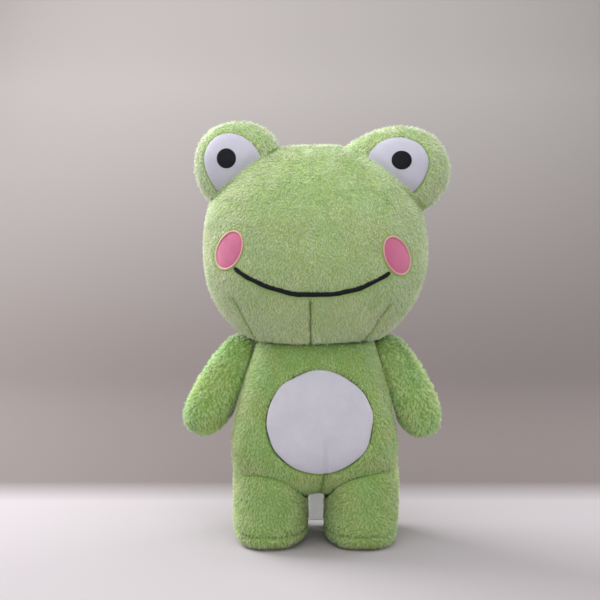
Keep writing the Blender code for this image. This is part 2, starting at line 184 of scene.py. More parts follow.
def grid_mesh(name, surface, rows, columns):
    """A closed mesh over a form, with a pole at each end."""
    along = np.repeat(np.arange(1, rows) / rows, columns)
    around = np.tile(np.arange(columns) / columns, rows - 1)
    ends = surface(np.array([0.0, 1.0]), np.array([0.0, 0.0]))
    points = np.vstack([ends[:1], surface(along, around), ends[1:]])
    last = len(points) - 1
    faces = []
    for c in range(columns):
        beside = (c + 1) % columns
        faces.append((0, 1 + beside, 1 + c))
        for row in range(rows - 2):
            low, high = 1 + row * columns, 1 + (row + 1) * columns
            faces.append((low + c, low + beside, high + beside, high + c))
        top = 1 + (rows - 2) * columns
        faces.append((top + c, top + beside, last))
    return new_mesh(name, points.tolist(), faces)


def read(items, field, width=3):
    """The places or normals of a mesh's vertices as an array."""
    values = np.zeros(len(items) * width, np.float32)
    items.foreach_get(field, values)
    return values.reshape(-1, width).astype(float)


def add_object(name, mesh, cloth, body):
    """Puts a mesh into the scene with its cloth, riding on a body."""
    mesh.materials.append(cloth)
    piece = bpy.data.objects.new(name, mesh)
    bpy.context.scene.collection.objects.link(piece)
    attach(piece, body)
    return piece


def sewn_mesh(name, surface, counts, seams, limit, seed):
    """A stuffed cover's mesh: its form with soft lumps, drawn in at its seams, kept in its limit."""
    mesh = grid_mesh(name, surface, *counts)
    points, normals = read(mesh.vertices, "co"), read(mesh.vertices, "normal")
    distance = seams(points)
    rise = LUMP_HEIGHT * ripple(points, LUMP_WAVELENGTH, seed)
    rise -= SEAM_DEPTH * np.exp(-(distance / SEAM_WIDTH) ** 2)
    points = limit(points + normals * rise[:, None])
    # The backing is painted darker towards the thread colour within about a millimetre of each seam: partly
    # the dark thread, partly painted shade in the seam's groove.
    thread = mesh.attributes.new("thread", "FLOAT", "POINT")
    thread.data.foreach_set("value", np.exp(-(distance / THREAD_AND_SHADE_WIDTH) ** 2).astype(np.float32))
    mesh.vertices.foreach_set("co", points.astype(np.float32).ravel())
    mesh.update()
    return mesh


def linear(hex_colour):
    """A linear colour from an sRGB hex value."""
    channels = [int(hex_colour[at : at + 2], 16) / 255 for at in (1, 3, 5)]
    return (*[c / 12.92 if c <= 0.04045 else ((c + 0.055) / 1.055) ** 2.4 for c in channels], 1)


def add_node(tree, kind, inputs=None, **settings):
    """Adds a node: settings are its properties, and inputs are values or other nodes' sockets."""
    made = tree.nodes.new(kind)
    for key, value in settings.items():
        setattr(made, key, value)
    for key, value in (inputs or {}).items():
        if isinstance(value, bpy.types.NodeSocket):
            tree.links.new(value, made.inputs[key])
        else:
            made.inputs[key].default_value = value
    return made


def new_cloth(name, roughness, sheen=0.0, sheen_roughness=0.5):
    """A cloth material, its node tree and its shader, ready for a colour and a bump."""
    cloth = bpy.data.materials.new(name)
    cloth.use_nodes = True
    shader = cloth.node_tree.nodes["Principled BSDF"]
    shader.inputs["Roughness"].default_value = roughness
    shader.inputs["Sheen Weight"].default_value = sheen
    shader.inputs["Sheen Roughness"].default_value = sheen_roughness
    return cloth, cloth.node_tree, shader


LOOP_PITCH = 1.1 * MM
LOOP_DEPTH = 0.4 * MM
DYE_BLOTCH = 6 * MM
MIX_SHARE, MIX_FIRST, MIX_SECOND, MIX_RESULT = 0, 6, 7, 2


def knitted_backing(name, dark, light, thread):
    """Warp-knitted polyester, dyed a little unevenly: matt and finely looped, and painted deeper in
    colour than the pile as painted shade between the strands.

    It shows only between the strands. Along its seams it is painted darker towards the thread colour:
    partly the dark thread, partly painted shade in the seam's fold. Its real loops are 0.5 mm apart,
    too fine to show, so they are drawn twice as coarse.
    """
    cloth, tree, shader = new_cloth(name, roughness=0.95)
    place = add_node(tree, "ShaderNodeTexCoord").outputs["Object"]
    blotch = add_node(tree, "ShaderNodeTexNoise", {"Vector": place, "Scale": 1 / DYE_BLOTCH, "Detail": 4})
    shades = {MIX_SHARE: blotch.outputs["Fac"], MIX_FIRST: linear(dark), MIX_SECOND: linear(light)}
    cloth_shade = add_node(tree, "ShaderNodeMix", shades, data_type="RGBA").outputs[MIX_RESULT]
    seam = add_node(tree, "ShaderNodeAttribute", attribute_name="thread").outputs["Fac"]
    shades = {MIX_SHARE: seam, MIX_FIRST: cloth_shade, MIX_SECOND: linear(thread)}
    shade = add_node(tree, "ShaderNodeMix", shades, data_type="RGBA").outputs[MIX_RESULT]
    loops = add_node(tree, "ShaderNodeTexVoronoi", {"Vector": place, "Scale": 1 / LOOP_PITCH})
    bump = add_node(tree, "ShaderNodeBump", {"Height": loops.outputs["Distance"], "Distance": LOOP_DEPTH})
    tree.links.new(shade, shader.inputs["Base Color"])
    tree.links.new(bump.outputs["Normal"], shader.inputs["Normal"])
    return cloth


def head_seams(points):
    """The distance to the nearest seam of the head."""
    x, y, z = points.T
    chin = line_distance(points, (CHIN_SEAM_X, CHIN_SEAM_TOP), (CHIN_SEAM_X, neck_seam))
    darts = np.minimum(line_distance(points, *LEFT_DART), line_distance(points, *RIGHT_DART))
    front = np.where(y < 0, np.minimum(chin, darts), FAR)
    back = np.where(y > 0, np.abs(x) + HALF_HIDDEN_SEAM, FAR)
    sides = np.abs(y) + HIDDEN_SEAM
    return np.minimum(np.minimum(front, back), np.minimum(sides, np.abs(z - neck_seam) + HALF_HIDDEN_SEAM))


# The eye bumps' forms, and the slanting creases where they are sewn into the head, which the
# filling swells the head out to.
BUMPS = {
    "left": {
        "centre": (-62.5 * MM, -4 * MM, 316 * MM),
        "half_width": 35 * MM,
        "depths": (27 * MM, 27 * MM),
        "rise": 34 * MM,
        "drop": 37 * MM,
        "powers": (2.15, 2.15, 2.5),
    },
    "right": {
        "centre": (60.5 * MM, -4 * MM, 306 * MM),
        "half_width": 50 * MM,
        "depths": (28 * MM, 27 * MM),
        "rise": 38 * MM,
        "drop": 37 * MM,
        "powers": (2.15, 2.15, 2.5),
        "lean": math.radians(-18),
    },
}
CREASES = {
    "left": ((-44.7 * MM, 321.8 * MM), (-78.4 * MM, 294.1 * MM)),
    "right": ((42.3 * MM, 321.8 * MM), (79.2 * MM, 293 * MM)),
}
BROW_PROUD = 0.6 * MM
BROW_REACH = 8 * MM
BROW_EDGE = 2 * MM
BROW_END = 9 * MM


def above_crease(word, x, z):
    """How far places in X and Z lie above the slanting line where a bump meets the head."""
    inner, outer = CREASES[word]
    run_x, run_z = outer[0] - inner[0], outer[1] - inner[1]
    return abs(run_x) / math.hypot(run_x, run_z) * ((z - inner[1]) - (x - inner[0]) * run_z / run_x)


def head_limit(points):
    """Keeps the head above the neck seam, and brings it out to the bumps' fronts at their creases."""
    points[:, 2] = np.maximum(points[:, 2], neck_seam + NECK_CLEARANCE)
    x, y, z = points.T.copy()
    for word, bump in BUMPS.items():
        above = above_crease(word, x, z)
        past = np.sqrt(np.maximum(line_distance(points, *CREASES[word]) ** 2 - above ** 2, 0))
        near = np.exp(-((above / np.where(above < 0, BROW_REACH, BROW_EDGE)) ** 2) - (past / BROW_END) ** 2)
        out = np.minimum(egg_front(bump)(x, z) - BROW_PROUD - y, 0)
        points[:, 1] += np.where(y < 0, out * near, 0)
    return points


HEAD_COUNTS = (190, 340)
head_mesh = sewn_mesh("head_cover", egg(HEAD), HEAD_COUNTS, head_seams, head_limit, seed=11)
head_backing = knitted_backing("knitted_backing_pale_green", "#8FAE62", "#A4C078", "#5A6E38")
head_cover = add_object("head_cover", head_mesh, head_backing, "head")
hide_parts("head_face_panel", "head_back_left_panel", "head_back_right_panel", "head_stuffing")

# Eye bumps.
# A round cup of the same plush on each side of the crown, stuffed firm and sewn down into the
# head along a slanting crease. The right one is wider and sits lower, as it came off the bench.

CREASE_REACH = 5 * MM
CREASE_DROP = 1.4 * MM
BUMP_TUCK = 3 * MM
BUMP_COUNTS = (80, 150)


def bump_front(word):
    """A bump's front surface, drawn in a little at the crease and sunk in the head below it."""
    own = egg_front(BUMPS[word])

    def front(x, z):
        above = above_crease(word, x, z)
        drawn = np.exp(-((np.maximum(above, 0) / CREASE_REACH) ** 2))
        return own(x, z) + CREASE_DROP * drawn + BUMP_TUCK * (1 - smooth(-BUMP_TUCK, 0, above))

    return front


# The edge of each eye's white, from its inner corner over the top to its outer corner.
WHITE_EDGES = {
    "left": (
        (-43.4, 322.7), (-49.2, 331.4), (-56.4, 337.5), (-64.4, 341), (-72.8, 341.4), (-81.2, 338.1),
        (-86.9, 331.4), (-89.8, 322.7), (-88.9, 313.9), (-85, 304.3), (-78.6, 294.1),
    ),
    "right": (
        (42.3, 322.7), (46.2, 329), (54.2, 335.4), (64.6, 338.3), (75.8, 337), (84.9, 332.2),
        (90.4, 324.2), (91.3, 315.5), (88, 306.1), (83.2, 298.6), (78.7, 293.8),
    ),
}
EDGE_STEPS = 8
PATCH_TUCK = 2 * MM


def white_outline(word):
    """A white's outline: a smooth curve from corner to corner, and straight back under the crease."""
    arc = np.array(WHITE_EDGES[word]) * MM
    inner, outer = arc[0], arc[-1]
    arc = np.vstack([2 * arc[0] - arc[1], arc, 2 * arc[-1] - arc[-2]])
    edge = []
    for before, start, end, after in zip(arc, arc[1:], arc[2:], arc[3:]):
        bend = 2 * before - 5 * start + 4 * end - after
        twist = 3 * start - before - 3 * end + after
        for t in np.arange(EDGE_STEPS) / EDGE_STEPS:
            edge.append(start + 0.5 * ((end - before) * t + bend * t ** 2 + twist * t ** 3))
    down = np.array([outer[1] - inner[1], inner[0] - outer[0]]) / np.linalg.norm(outer - inner)
    down *= -math.copysign(PATCH_TUCK, down[1])
    edge += list(np.linspace(outer + down, inner + down, 3 * EDGE_STEPS))
    return np.array(edge if word == "left" else edge[::-1])


def outline_distance(points, outline):
    """How far points of the front lie outside a closed outline, and below 0 inside it."""
    x, z = points[:, 0], points[:, 2]
    nearest, inside = np.ones(len(points)), np.zeros(len(points), bool)
    for start, end in zip(outline, np.roll(outline, -1, axis=0)):
        nearest = np.minimum(nearest, line_distance(points, start, end))
        if start[1] != end[1]:
            crossed = start[0] + (z - start[1]) * (end[0] - start[0]) / (end[1] - start[1])
            inside ^= ((start[1] > z) != (end[1] > z)) & (x < crossed)
    return np.where(points[:, 1] < 0, np.where(inside, -nearest, nearest), FAR)


WHITES = {word: white_outline(word) for word in BUMPS}
for word, bump in BUMPS.items():

    def bump_limit(points, word=word, bump=bump):
        """Keeps the front half of a bump on its drawn-down surface."""
        front = bump_front(word)(points[:, 0], points[:, 2])
        points[:, 1] = np.where(points[:, 1] < bump["centre"][1], front, points[:, 1])
        return points

    def white_seam(points, word=word):
        """The distance to the seam round a bump's white, hidden below the crease."""
        return np.abs(outline_distance(points, WHITES[word]))

    mesh = sewn_mesh(f"eye_bump_cover_{word}", egg(bump), BUMP_COUNTS, white_seam, bump_limit, seed=21)
    bump["mesh"] = mesh
    cover = add_object(f"eye_bump_cover_{word}", mesh, head_backing, "head")
    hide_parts(*[f"eye_bump_{part}_{word}" for part in ("front", "back", "stuffing")])

# Eyes.
# White velour discs let into the bumps' fronts, cut off along the crease, each with a round pupil
# in black satin stitch. Velour is short and dense: matt, with a faint bloom.

PUPILS = {
    "left": {"middle": (-71.5 * MM, 321.6 * MM), "sizes": (7.8 * MM, 8 * MM)},
    "right": {"middle": (69.4 * MM, 320.2 * MM), "sizes": (8.2 * MM, 7.5 * MM)},
}
VELOUR_RISE = 0.9 * MM
STITCH_RISE = 0.9 * MM
PATCH_SKIRT = 2 * MM
WHITE_PUFF = 0.3 * MM
PUPIL_PUFF = 0.5 * MM
VELOUR_PATCH = 16 * MM
VELOUR_GRAIN = 0.7 * MM
VELOUR_DEPTH = 0.25 * MM
VELOUR_CONTRAST = {"From Min": 0.7, "From Max": 1.3}
STITCH_WOBBLES = 300
STITCH_WANDER = 0.6
STITCH_RELIEF = 0.35


def velour(name, colour, worn):
    """Knitted velour, sheared short: even and matt, with a faint bloom and soft brushed patches.

    Its real nap is 0.2 mm across a tuft, too fine to show, so the grain is drawn at 0.7 mm.
    """
    cloth, tree, shader = new_cloth(name, roughness=0.85, sheen=0.3)
    place = add_node(tree, "ShaderNodeTexCoord").outputs["Object"]
    patches = add_node(tree, "ShaderNodeTexNoise", {"Vector": place, "Scale": 1 / VELOUR_PATCH, "Detail": 3})
    grain = add_node(tree, "ShaderNodeTexNoise", {"Vector": place, "Scale": 1 / VELOUR_GRAIN, "Detail": 2})
    both = add_node(tree, "ShaderNodeMath", {0: patches.outputs["Fac"], 1: grain.outputs["Fac"]})
    share = add_node(tree, "ShaderNodeMapRange", {"Value": both.outputs[0]} | VELOUR_CONTRAST)
    shades = {MIX_SHARE: share.outputs["Result"], MIX_FIRST: linear(worn), MIX_SECOND: linear(colour)}
    shade = add_node(tree, "ShaderNodeMix", shades, data_type="RGBA").outputs[MIX_RESULT]
    bump = add_node(tree, "ShaderNodeBump", {"Height": grain.outputs["Fac"], "Distance": VELOUR_DEPTH})
    tree.links.new(shade, shader.inputs["Base Color"])
    tree.links.new(bump.outputs["Normal"], shader.inputs["Normal"])
    return cloth


def satin_stitch(name, colour, light, pitch, gloss=0.3):
    """Rayon satin stitch: glossy parallel threads laid side by side, with a painted highlight line on each.

    Real threads are 0.4 mm apart, too fine to show, so they are drawn twice as coarse. They wander
    by a share of their pitch, in 300 wobbles to the metre.
    """
    cloth, tree, shader = new_cloth(name, roughness=0.45)
    shader.inputs["Specular IOR Level"].default_value = gloss
    place = add_node(tree, "ShaderNodeTexCoord").outputs["Object"]
    wobble = add_node(tree, "ShaderNodeTexNoise", {"Vector": place, "Scale": STITCH_WOBBLES, "Detail": 2})
    along = add_node(tree, "ShaderNodeVectorMath", {0: place, 1: (0, 0, 1)}, operation="DOT_PRODUCT")
    terms = {0: wobble.outputs["Fac"], 1: STITCH_WANDER * pitch, 2: along.outputs["Value"]}
    shift = add_node(tree, "ShaderNodeMath", terms, operation="MULTIPLY_ADD")
    terms = {0: shift.outputs[0], 1: 2 * math.pi / pitch}
    turns = add_node(tree, "ShaderNodeMath", terms, operation="MULTIPLY")
    wave = add_node(tree, "ShaderNodeMath", {0: turns.outputs[0]}, operation="SINE")
    share = add_node(tree, "ShaderNodeMapRange", {"Value": wave.outputs[0], "From Min": -1, "From Max": 1})
    # Each thread's light line is a painted highlight, mixed in from the light colour.
    shades = {MIX_SHARE: share.outputs["Result"], MIX_FIRST: linear(colour), MIX_SECOND: linear(light)}
    shade = add_node(tree, "ShaderNodeMix", shades, data_type="RGBA").outputs[MIX_RESULT]
    relief = {"Height": share.outputs["Result"], "Distance": STITCH_RELIEF * pitch}
    bump = add_node(tree, "ShaderNodeBump", relief)
    tree.links.new(shade, shader.inputs["Base Color"])
    tree.links.new(bump.outputs["Normal"], shader.inputs["Normal"])
    return cloth


RING_SPACING = 0.7
EDGE_POWER = 14
EDGE_HEIGHT = 0.35


def disc_mesh(name, edge, front, rise, puff, rings=24):
    """A patch on a front surface: a rounded edge that goes down into the cover, and a soft top."""
    spokes = len(edge)
    middle = edge.mean(axis=0)
    shares = np.append(np.linspace(0, 1, rings)[1:] ** RING_SPACING, 1.0)
    heights = rise * np.sqrt(np.maximum(1 - shares ** EDGE_POWER, 0)) + puff * (1 - shares ** 2)
    heights[-2], heights[-1] = EDGE_HEIGHT * rise, -PATCH_SKIRT
    points = [(middle[0], float(front(middle[0], middle[1])) - rise - puff, middle[1])]
    for share, height in zip(shares, heights):
        places = middle + share * (edge - middle)
        depth = front(places[:, 0], places[:, 1])
        points += [(x, y - height, z) for x, y, z in zip(places[:, 0], depth, places[:, 1])]
    faces = [(0, 1 + (k + 1) % spokes, 1 + k) for k in range(spokes)]
    for ring in range(len(shares) - 1):
        low, high = 1 + ring * spokes, 1 + (ring + 1) * spokes
        beside = [(k + 1) % spokes for k in range(spokes)]
        faces += [(low + k, low + beside[k], high + beside[k], high + k) for k in range(spokes)]
    mesh = new_mesh(name, points, faces)
    mesh.flip_normals()
    return mesh


def ellipse(middle, sizes, lean=0.0, steps=96):
    """The outline of a leaning ellipse in X and Z."""
    angles = 2 * math.pi * np.arange(steps) / steps
    x, z = turned(-lean, sizes[0] * np.cos(angles), sizes[1] * np.sin(angles))
    return np.stack([middle[0] + x, middle[1] + z], axis=1)


white_velour = velour("white_velour", "#C9C8D2", "#BCBBC8")
# The eyes' velour is the belly's white painted darker: painted shade on the eye whites.
shaded_eye_velour = velour("white_velour_of_eyes", "#BCBBC8", "#B1B0BF")
black_stitch = satin_stitch("black_satin_stitch", "#0A0B11", "#181A24", 0.9 * MM, gloss=0.12)
for word, white in WHITES.items():
    mesh = disc_mesh(f"eye_white_velour_{word}", white, bump_front(word), VELOUR_RISE, WHITE_PUFF)
    piece = add_object(f"eye_white_velour_{word}", mesh, shaded_eye_velour, "head")
    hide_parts(f"eye_white_{word}")

    def on_white(x, z, word=word):
        """The white's top, which the pupil is stitched on."""
        return bump_front(word)(x, z) - VELOUR_RISE

    edge = ellipse(PUPILS[word]["middle"], PUPILS[word]["sizes"])
    mesh = disc_mesh(f"pupil_stitching_{word}", edge, on_white, STITCH_RISE, PUPIL_PUFF, rings=10)
    piece = add_object(f"pupil_stitching_{word}", mesh, black_stitch, "head")
    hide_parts(f"pupil_{word}")

# Cheeks and smile.
# Pink velour ovals held down by a narrow border of satin stitch, and a smile of black satin stitch
# sewn straight through the pile, which it presses flat.

CHEEKS = {
    "left": {"middle": (-68.5 * MM, 249.5 * MM), "lean": math.radians(25)},
    "right": {"middle": (64.5 * MM, 245.5 * MM), "lean": math.radians(-25)},
}
CHEEK_SIZES = (9.6 * MM, 16.2 * MM)
CHEEK_BORDER = 1.5 * MM
MOUTH_LEFT = (-64 * MM, 235.5 * MM)
MOUTH_RIGHT = (58.5 * MM, 232 * MM)
MOUTH_LOW = (-1 * MM, 216 * MM)
MOUTH_THICKNESS = 3.9 * MM
MOUTH_FLATNESS = 2.25
MOUTH_STEPS = 96
MOUTH_SIDES = 10
MOUTH_HEIGHT = 2.6 * MM
MOUTH_WAVER, MOUTH_WAVER_LENGTH = 0.35 * MM, 24 * MM
MOUTH_LUMPS, MOUTH_LUMP_LENGTH = 0.07, 7 * MM
MOUTH_END_STEPS = 2
MOUTH_END_START = 0.3
CHEEK_RISE = 1.6 * MM
CHEEK_PUFF = 0.5 * MM
BORDER_RISE = 2.1 * MM
BORDER_SPREAD = 1.25
BORDER_SIDES = 8
BORDER_LUMPS, BORDER_LUMP_LENGTH = 0.08, 9 * MM

head_front = egg_front(HEAD)
pink_velour = velour("pink_velour", "#C96E90", "#BA5B7F")
border_stitch = satin_stitch("beige_satin_stitch", "#CB9A92", "#E6BFB4", 0.8 * MM)


def mouth_height(x):
    """The height of the smile's line: it falls from each end to the same lowest place."""
    end_x = np.where(x < MOUTH_LOW[0], MOUTH_LEFT[0], MOUTH_RIGHT[0])
    end_z = np.where(x < MOUTH_LOW[0], MOUTH_LEFT[1], MOUTH_RIGHT[1])
    share = np.abs((x - MOUTH_LOW[0]) / (end_x - MOUTH_LOW[0])) ** MOUTH_FLATNESS
    return MOUTH_LOW[1] + share * (end_z - MOUTH_LOW[1])


def tube_mesh(name, path, widths, heights, sides, closed):
    """A rounded cord of stitching along points that lie on the front of a cover."""
    count = len(path)
    after = np.roll(path, -1, axis=0) if closed else np.vstack([path[1:], 2 * path[-1:] - path[-2:-1]])
    before = np.roll(path, 1, axis=0) if closed else np.vstack([2 * path[:1] - path[1:2], path[:-1]])
    run = unit(after - before)
    outward = unit(np.array([0, -1.0, 0]) - run * -run[:, 1:2])
    side = np.cross(run, outward)
    points = []
    for k in range(count):
        for turn in range(sides):
            angle = 2 * math.pi * turn / sides
            across, up = widths[k] / 2 * math.cos(angle), heights[k] * math.sin(angle)
            points.append(path[k] + side[k] * across + outward[k] * up)
    faces = []
    for k in range(count if closed else count - 1):
        low, high = k * sides, (k + 1) % count * sides
        faces += [(low + t, low + (t + 1) % sides, high + (t + 1) % sides, high + t) for t in range(sides)]
    if not closed:
        faces += [tuple(range(sides))[::-1], tuple((count - 1) * sides + t for t in range(sides))]
    return new_mesh(name, [tuple(point) for point in points], faces)


for word, cheek in CHEEKS.items():
    edge = ellipse(cheek["middle"], CHEEK_SIZES, cheek["lean"])
    mesh = disc_mesh(f"cheek_velour_{word}", edge, head_front, CHEEK_RISE, CHEEK_PUFF)
    piece = add_object(f"cheek_velour_{word}", mesh, pink_velour, "head")
    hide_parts(f"cheek_{word}")
    path = np.stack([edge[:, 0], head_front(edge[:, 0], edge[:, 1]), edge[:, 1]], axis=1)
    uneven = 1 + BORDER_LUMPS * ripple(path, BORDER_LUMP_LENGTH, 31)
    widths, heights = CHEEK_BORDER * BORDER_SPREAD * uneven, BORDER_RISE * uneven
    mesh = tube_mesh(f"cheek_border_stitching_{word}", path, widths, heights, BORDER_SIDES, closed=True)
    piece = add_object(f"cheek_border_stitching_{word}", mesh, border_stitch, "head")
    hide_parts(f"cheek_border_{word}")

x = np.linspace(MOUTH_LEFT[0], MOUTH_RIGHT[0], MOUTH_STEPS)
z = mouth_height(x)
path = np.stack([x, head_front(x, z), z], axis=1)
path[:, 2] += MOUTH_WAVER * ripple(path, MOUTH_WAVER_LENGTH, 32)
ends = np.minimum(np.arange(MOUTH_STEPS), np.arange(MOUTH_STEPS)[::-1]) / MOUTH_END_STEPS
ends = np.clip((ends + MOUTH_END_START) / (1 + MOUTH_END_START), 0, 1)
plump = np.sqrt(1 - (1 - ends) ** 2) * (1 + MOUTH_LUMPS * ripple(path, MOUTH_LUMP_LENGTH, 33))
widths, heights = MOUTH_THICKNESS * plump, MOUTH_HEIGHT * plump
mesh = tube_mesh("mouth_satin_stitching", path, widths, heights, MOUTH_SIDES, closed=False)
smile = add_object("mouth_satin_stitching", mesh, black_stitch, "head")
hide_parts("mouth_stitching")

# Pile of the head and the eye bumps.
# The nap runs down the face and lies over each patch's top edge a little. It is brushed apart and
# shortened along the seams and beside the patches, and painted darker there as painted shade, so
# they show as soft lines.

DYE_DRIFT = 26 * MM
DYE_NOISE = (0.35, 0.65)
DYE_HUES = (0.48, 0.52)
THROUGH_SHARE = 0.25
RIM_PALENESS = 0.45
# Real fibres are a tenth as wide as these strands and stand ten times as close, too fine to draw,
# so a strand stands for a lock of them. None stands on a seam's thread.
NAP_DENSITY = 4.4
STRAND_WIDTH = 0.3 * MM
STRAND_LENGTHS = (0.72, 1.08)
STRAND_SPREAD = 0.12
TUFT_LENGTHS = (0.9, 1.1)
ROOT_SINK = 0.3 * MM
BARE_SEAM = 0.35 * MM
CORNERS = 3
FLOOR_CLEARANCE = 0.1 * MM
OWN_SHADING = 0.5
LEAN = 0.66
LEAST_RISE = 0.18
SWIRL_SIZE = 24 * MM
EDGE_REACH = 2 * MM
SEAM_SHADE = 0.6
PARTED, PARTED_WAVER, PARTING_WAVE = 0.6, 0.9, 12 * MM
CREASE_WAVE = 20 * MM
CREASE_PATCH = 34 * MM
CREASE_FADE = (-0.2, 0.4)
CREASE_SHARE = 0.13
CREASE_TRIM = 0.5
# How much the tone of the strands drifts from patch to patch, lock to lock, tuft to tuft and
# strand to strand.
PATCH_TONES, BRUSHED_PATCH = 0.26, 20 * MM
LOCK_TONES, BRUSHED_LOCK = 0.2, 6 * MM
TUFT_TONES = 0.37
STRAND_TONES = 0.2
CELL_CORNERS = ((0.9, 0.1), (0.1, 0.1), (0.5, 0.9))
HEAD_NAP = 3.1 * MM
BUMP_NAP = 3.6 * MM
CAP_MARGIN = 0.5 * MM
BARE_EDGE = 0.4 * MM


def crystal_pile(name, root, light_root, tip, light_tip):
    """Short polyester cut pile: matt fibres that let light through, so their edges glow palely.

    Each strand is painted deeper in colour at its root, as painted shade from its neighbours, and
    paler towards its tip, as painted rim light. The tone of the strands drifts over the cloth as
    brushed pile does, while the dye drifts from a yellower green to a cooler one.
    """
    cloth, tree, shader = new_cloth(name, roughness=0.7, sheen=1.0, sheen_roughness=0.3)
    nap = add_node(tree, "ShaderNodeAttribute", attribute_name="nap").outputs["Fac"]
    tone = add_node(tree, "ShaderNodeAttribute", attribute_name="tone").outputs["Fac"]
    ends = []
    for dark, light in ((root, light_root), (tip, light_tip)):
        shades = {MIX_SHARE: tone, MIX_FIRST: linear(dark), MIX_SECOND: linear(light)}
        ends.append(add_node(tree, "ShaderNodeMix", shades, data_type="RGBA").outputs[MIX_RESULT])
    # From root to tip: painted shade at the root, and painted rim light at the tip.
    shades = {MIX_SHARE: nap, MIX_FIRST: ends[0], MIX_SECOND: ends[1]}
    root_shade_to_tip_light = add_node(tree, "ShaderNodeMix", shades, data_type="RGBA").outputs[MIX_RESULT]
    place = add_node(tree, "ShaderNodeTexCoord").outputs["Object"]
    bath = add_node(tree, "ShaderNodeTexNoise", {"Vector": place, "Scale": 1 / DYE_DRIFT, "Detail": 2})
    drift = {"Value": bath.outputs["Fac"]}
    drift |= dict(zip(("From Min", "From Max", "To Min", "To Max"), DYE_NOISE + DYE_HUES))
    hue = add_node(tree, "ShaderNodeMapRange", drift).outputs["Result"]
    colour = add_node(tree, "ShaderNodeHueSaturation", {"Hue": hue, "Color": root_shade_to_tip_light}).outputs["Color"]
    shades = {MIX_SHARE: RIM_PALENESS, MIX_FIRST: colour, MIX_SECOND: linear("#FFFFFF")}
    pale = add_node(tree, "ShaderNodeMix", shades, data_type="RGBA").outputs[MIX_RESULT]
    through = add_node(tree, "ShaderNodeBsdfTranslucent", {"Color": pale})
    parts = {0: THROUGH_SHARE, 1: shader.outputs[0], 2: through.outputs[0]}
    both = add_node(tree, "ShaderNodeMixShader", parts)
    tree.links.new(colour, shader.inputs["Base Color"])
    tree.links.new(both.outputs[0], tree.nodes["Material Output"].inputs["Surface"])
    return cloth


def soft_side(distance, points):
    """The direction that leads away from an edge most quickly, in the front view."""
    step = 0.1 * MM
    across = distance(points + np.array([step, 0, 0])) - distance(points)
    upward = distance(points + np.array([0, 0, step])) - distance(points)
    lead = np.stack([across, np.zeros(len(points)), upward], axis=1)
    return lead / np.maximum(np.linalg.norm(lead, axis=1), step / 10)[:, None]


def downward(points):
    """The way a nap lies that was brushed straight down."""
    return np.tile((0.0, 0.0, -1.0), (len(points), 1))


def untrimmed(points):
    """The share of its length that a nap keeps where nothing trims it."""
    return np.ones(len(points))


# What a nap is like where its cover doesn't say otherwise: the way it lies and where it is trimmed,
# the strands in a tuft and how far tufts turn and draw together, how much it swirls, how much
# shorter it is beside an edge, how deep its creases are, and how pale it is.
PLAIN_NAP = {
    "flow": downward,
    "trim": untrimmed,
    "tuft": 7,
    "tuft_spread": 0.24,
    "gather": 0.55,
    "swirl": 0.5,
    "edge_trim": 0.55,
    "creases": 0.35,
    "tone": 0.5,
}


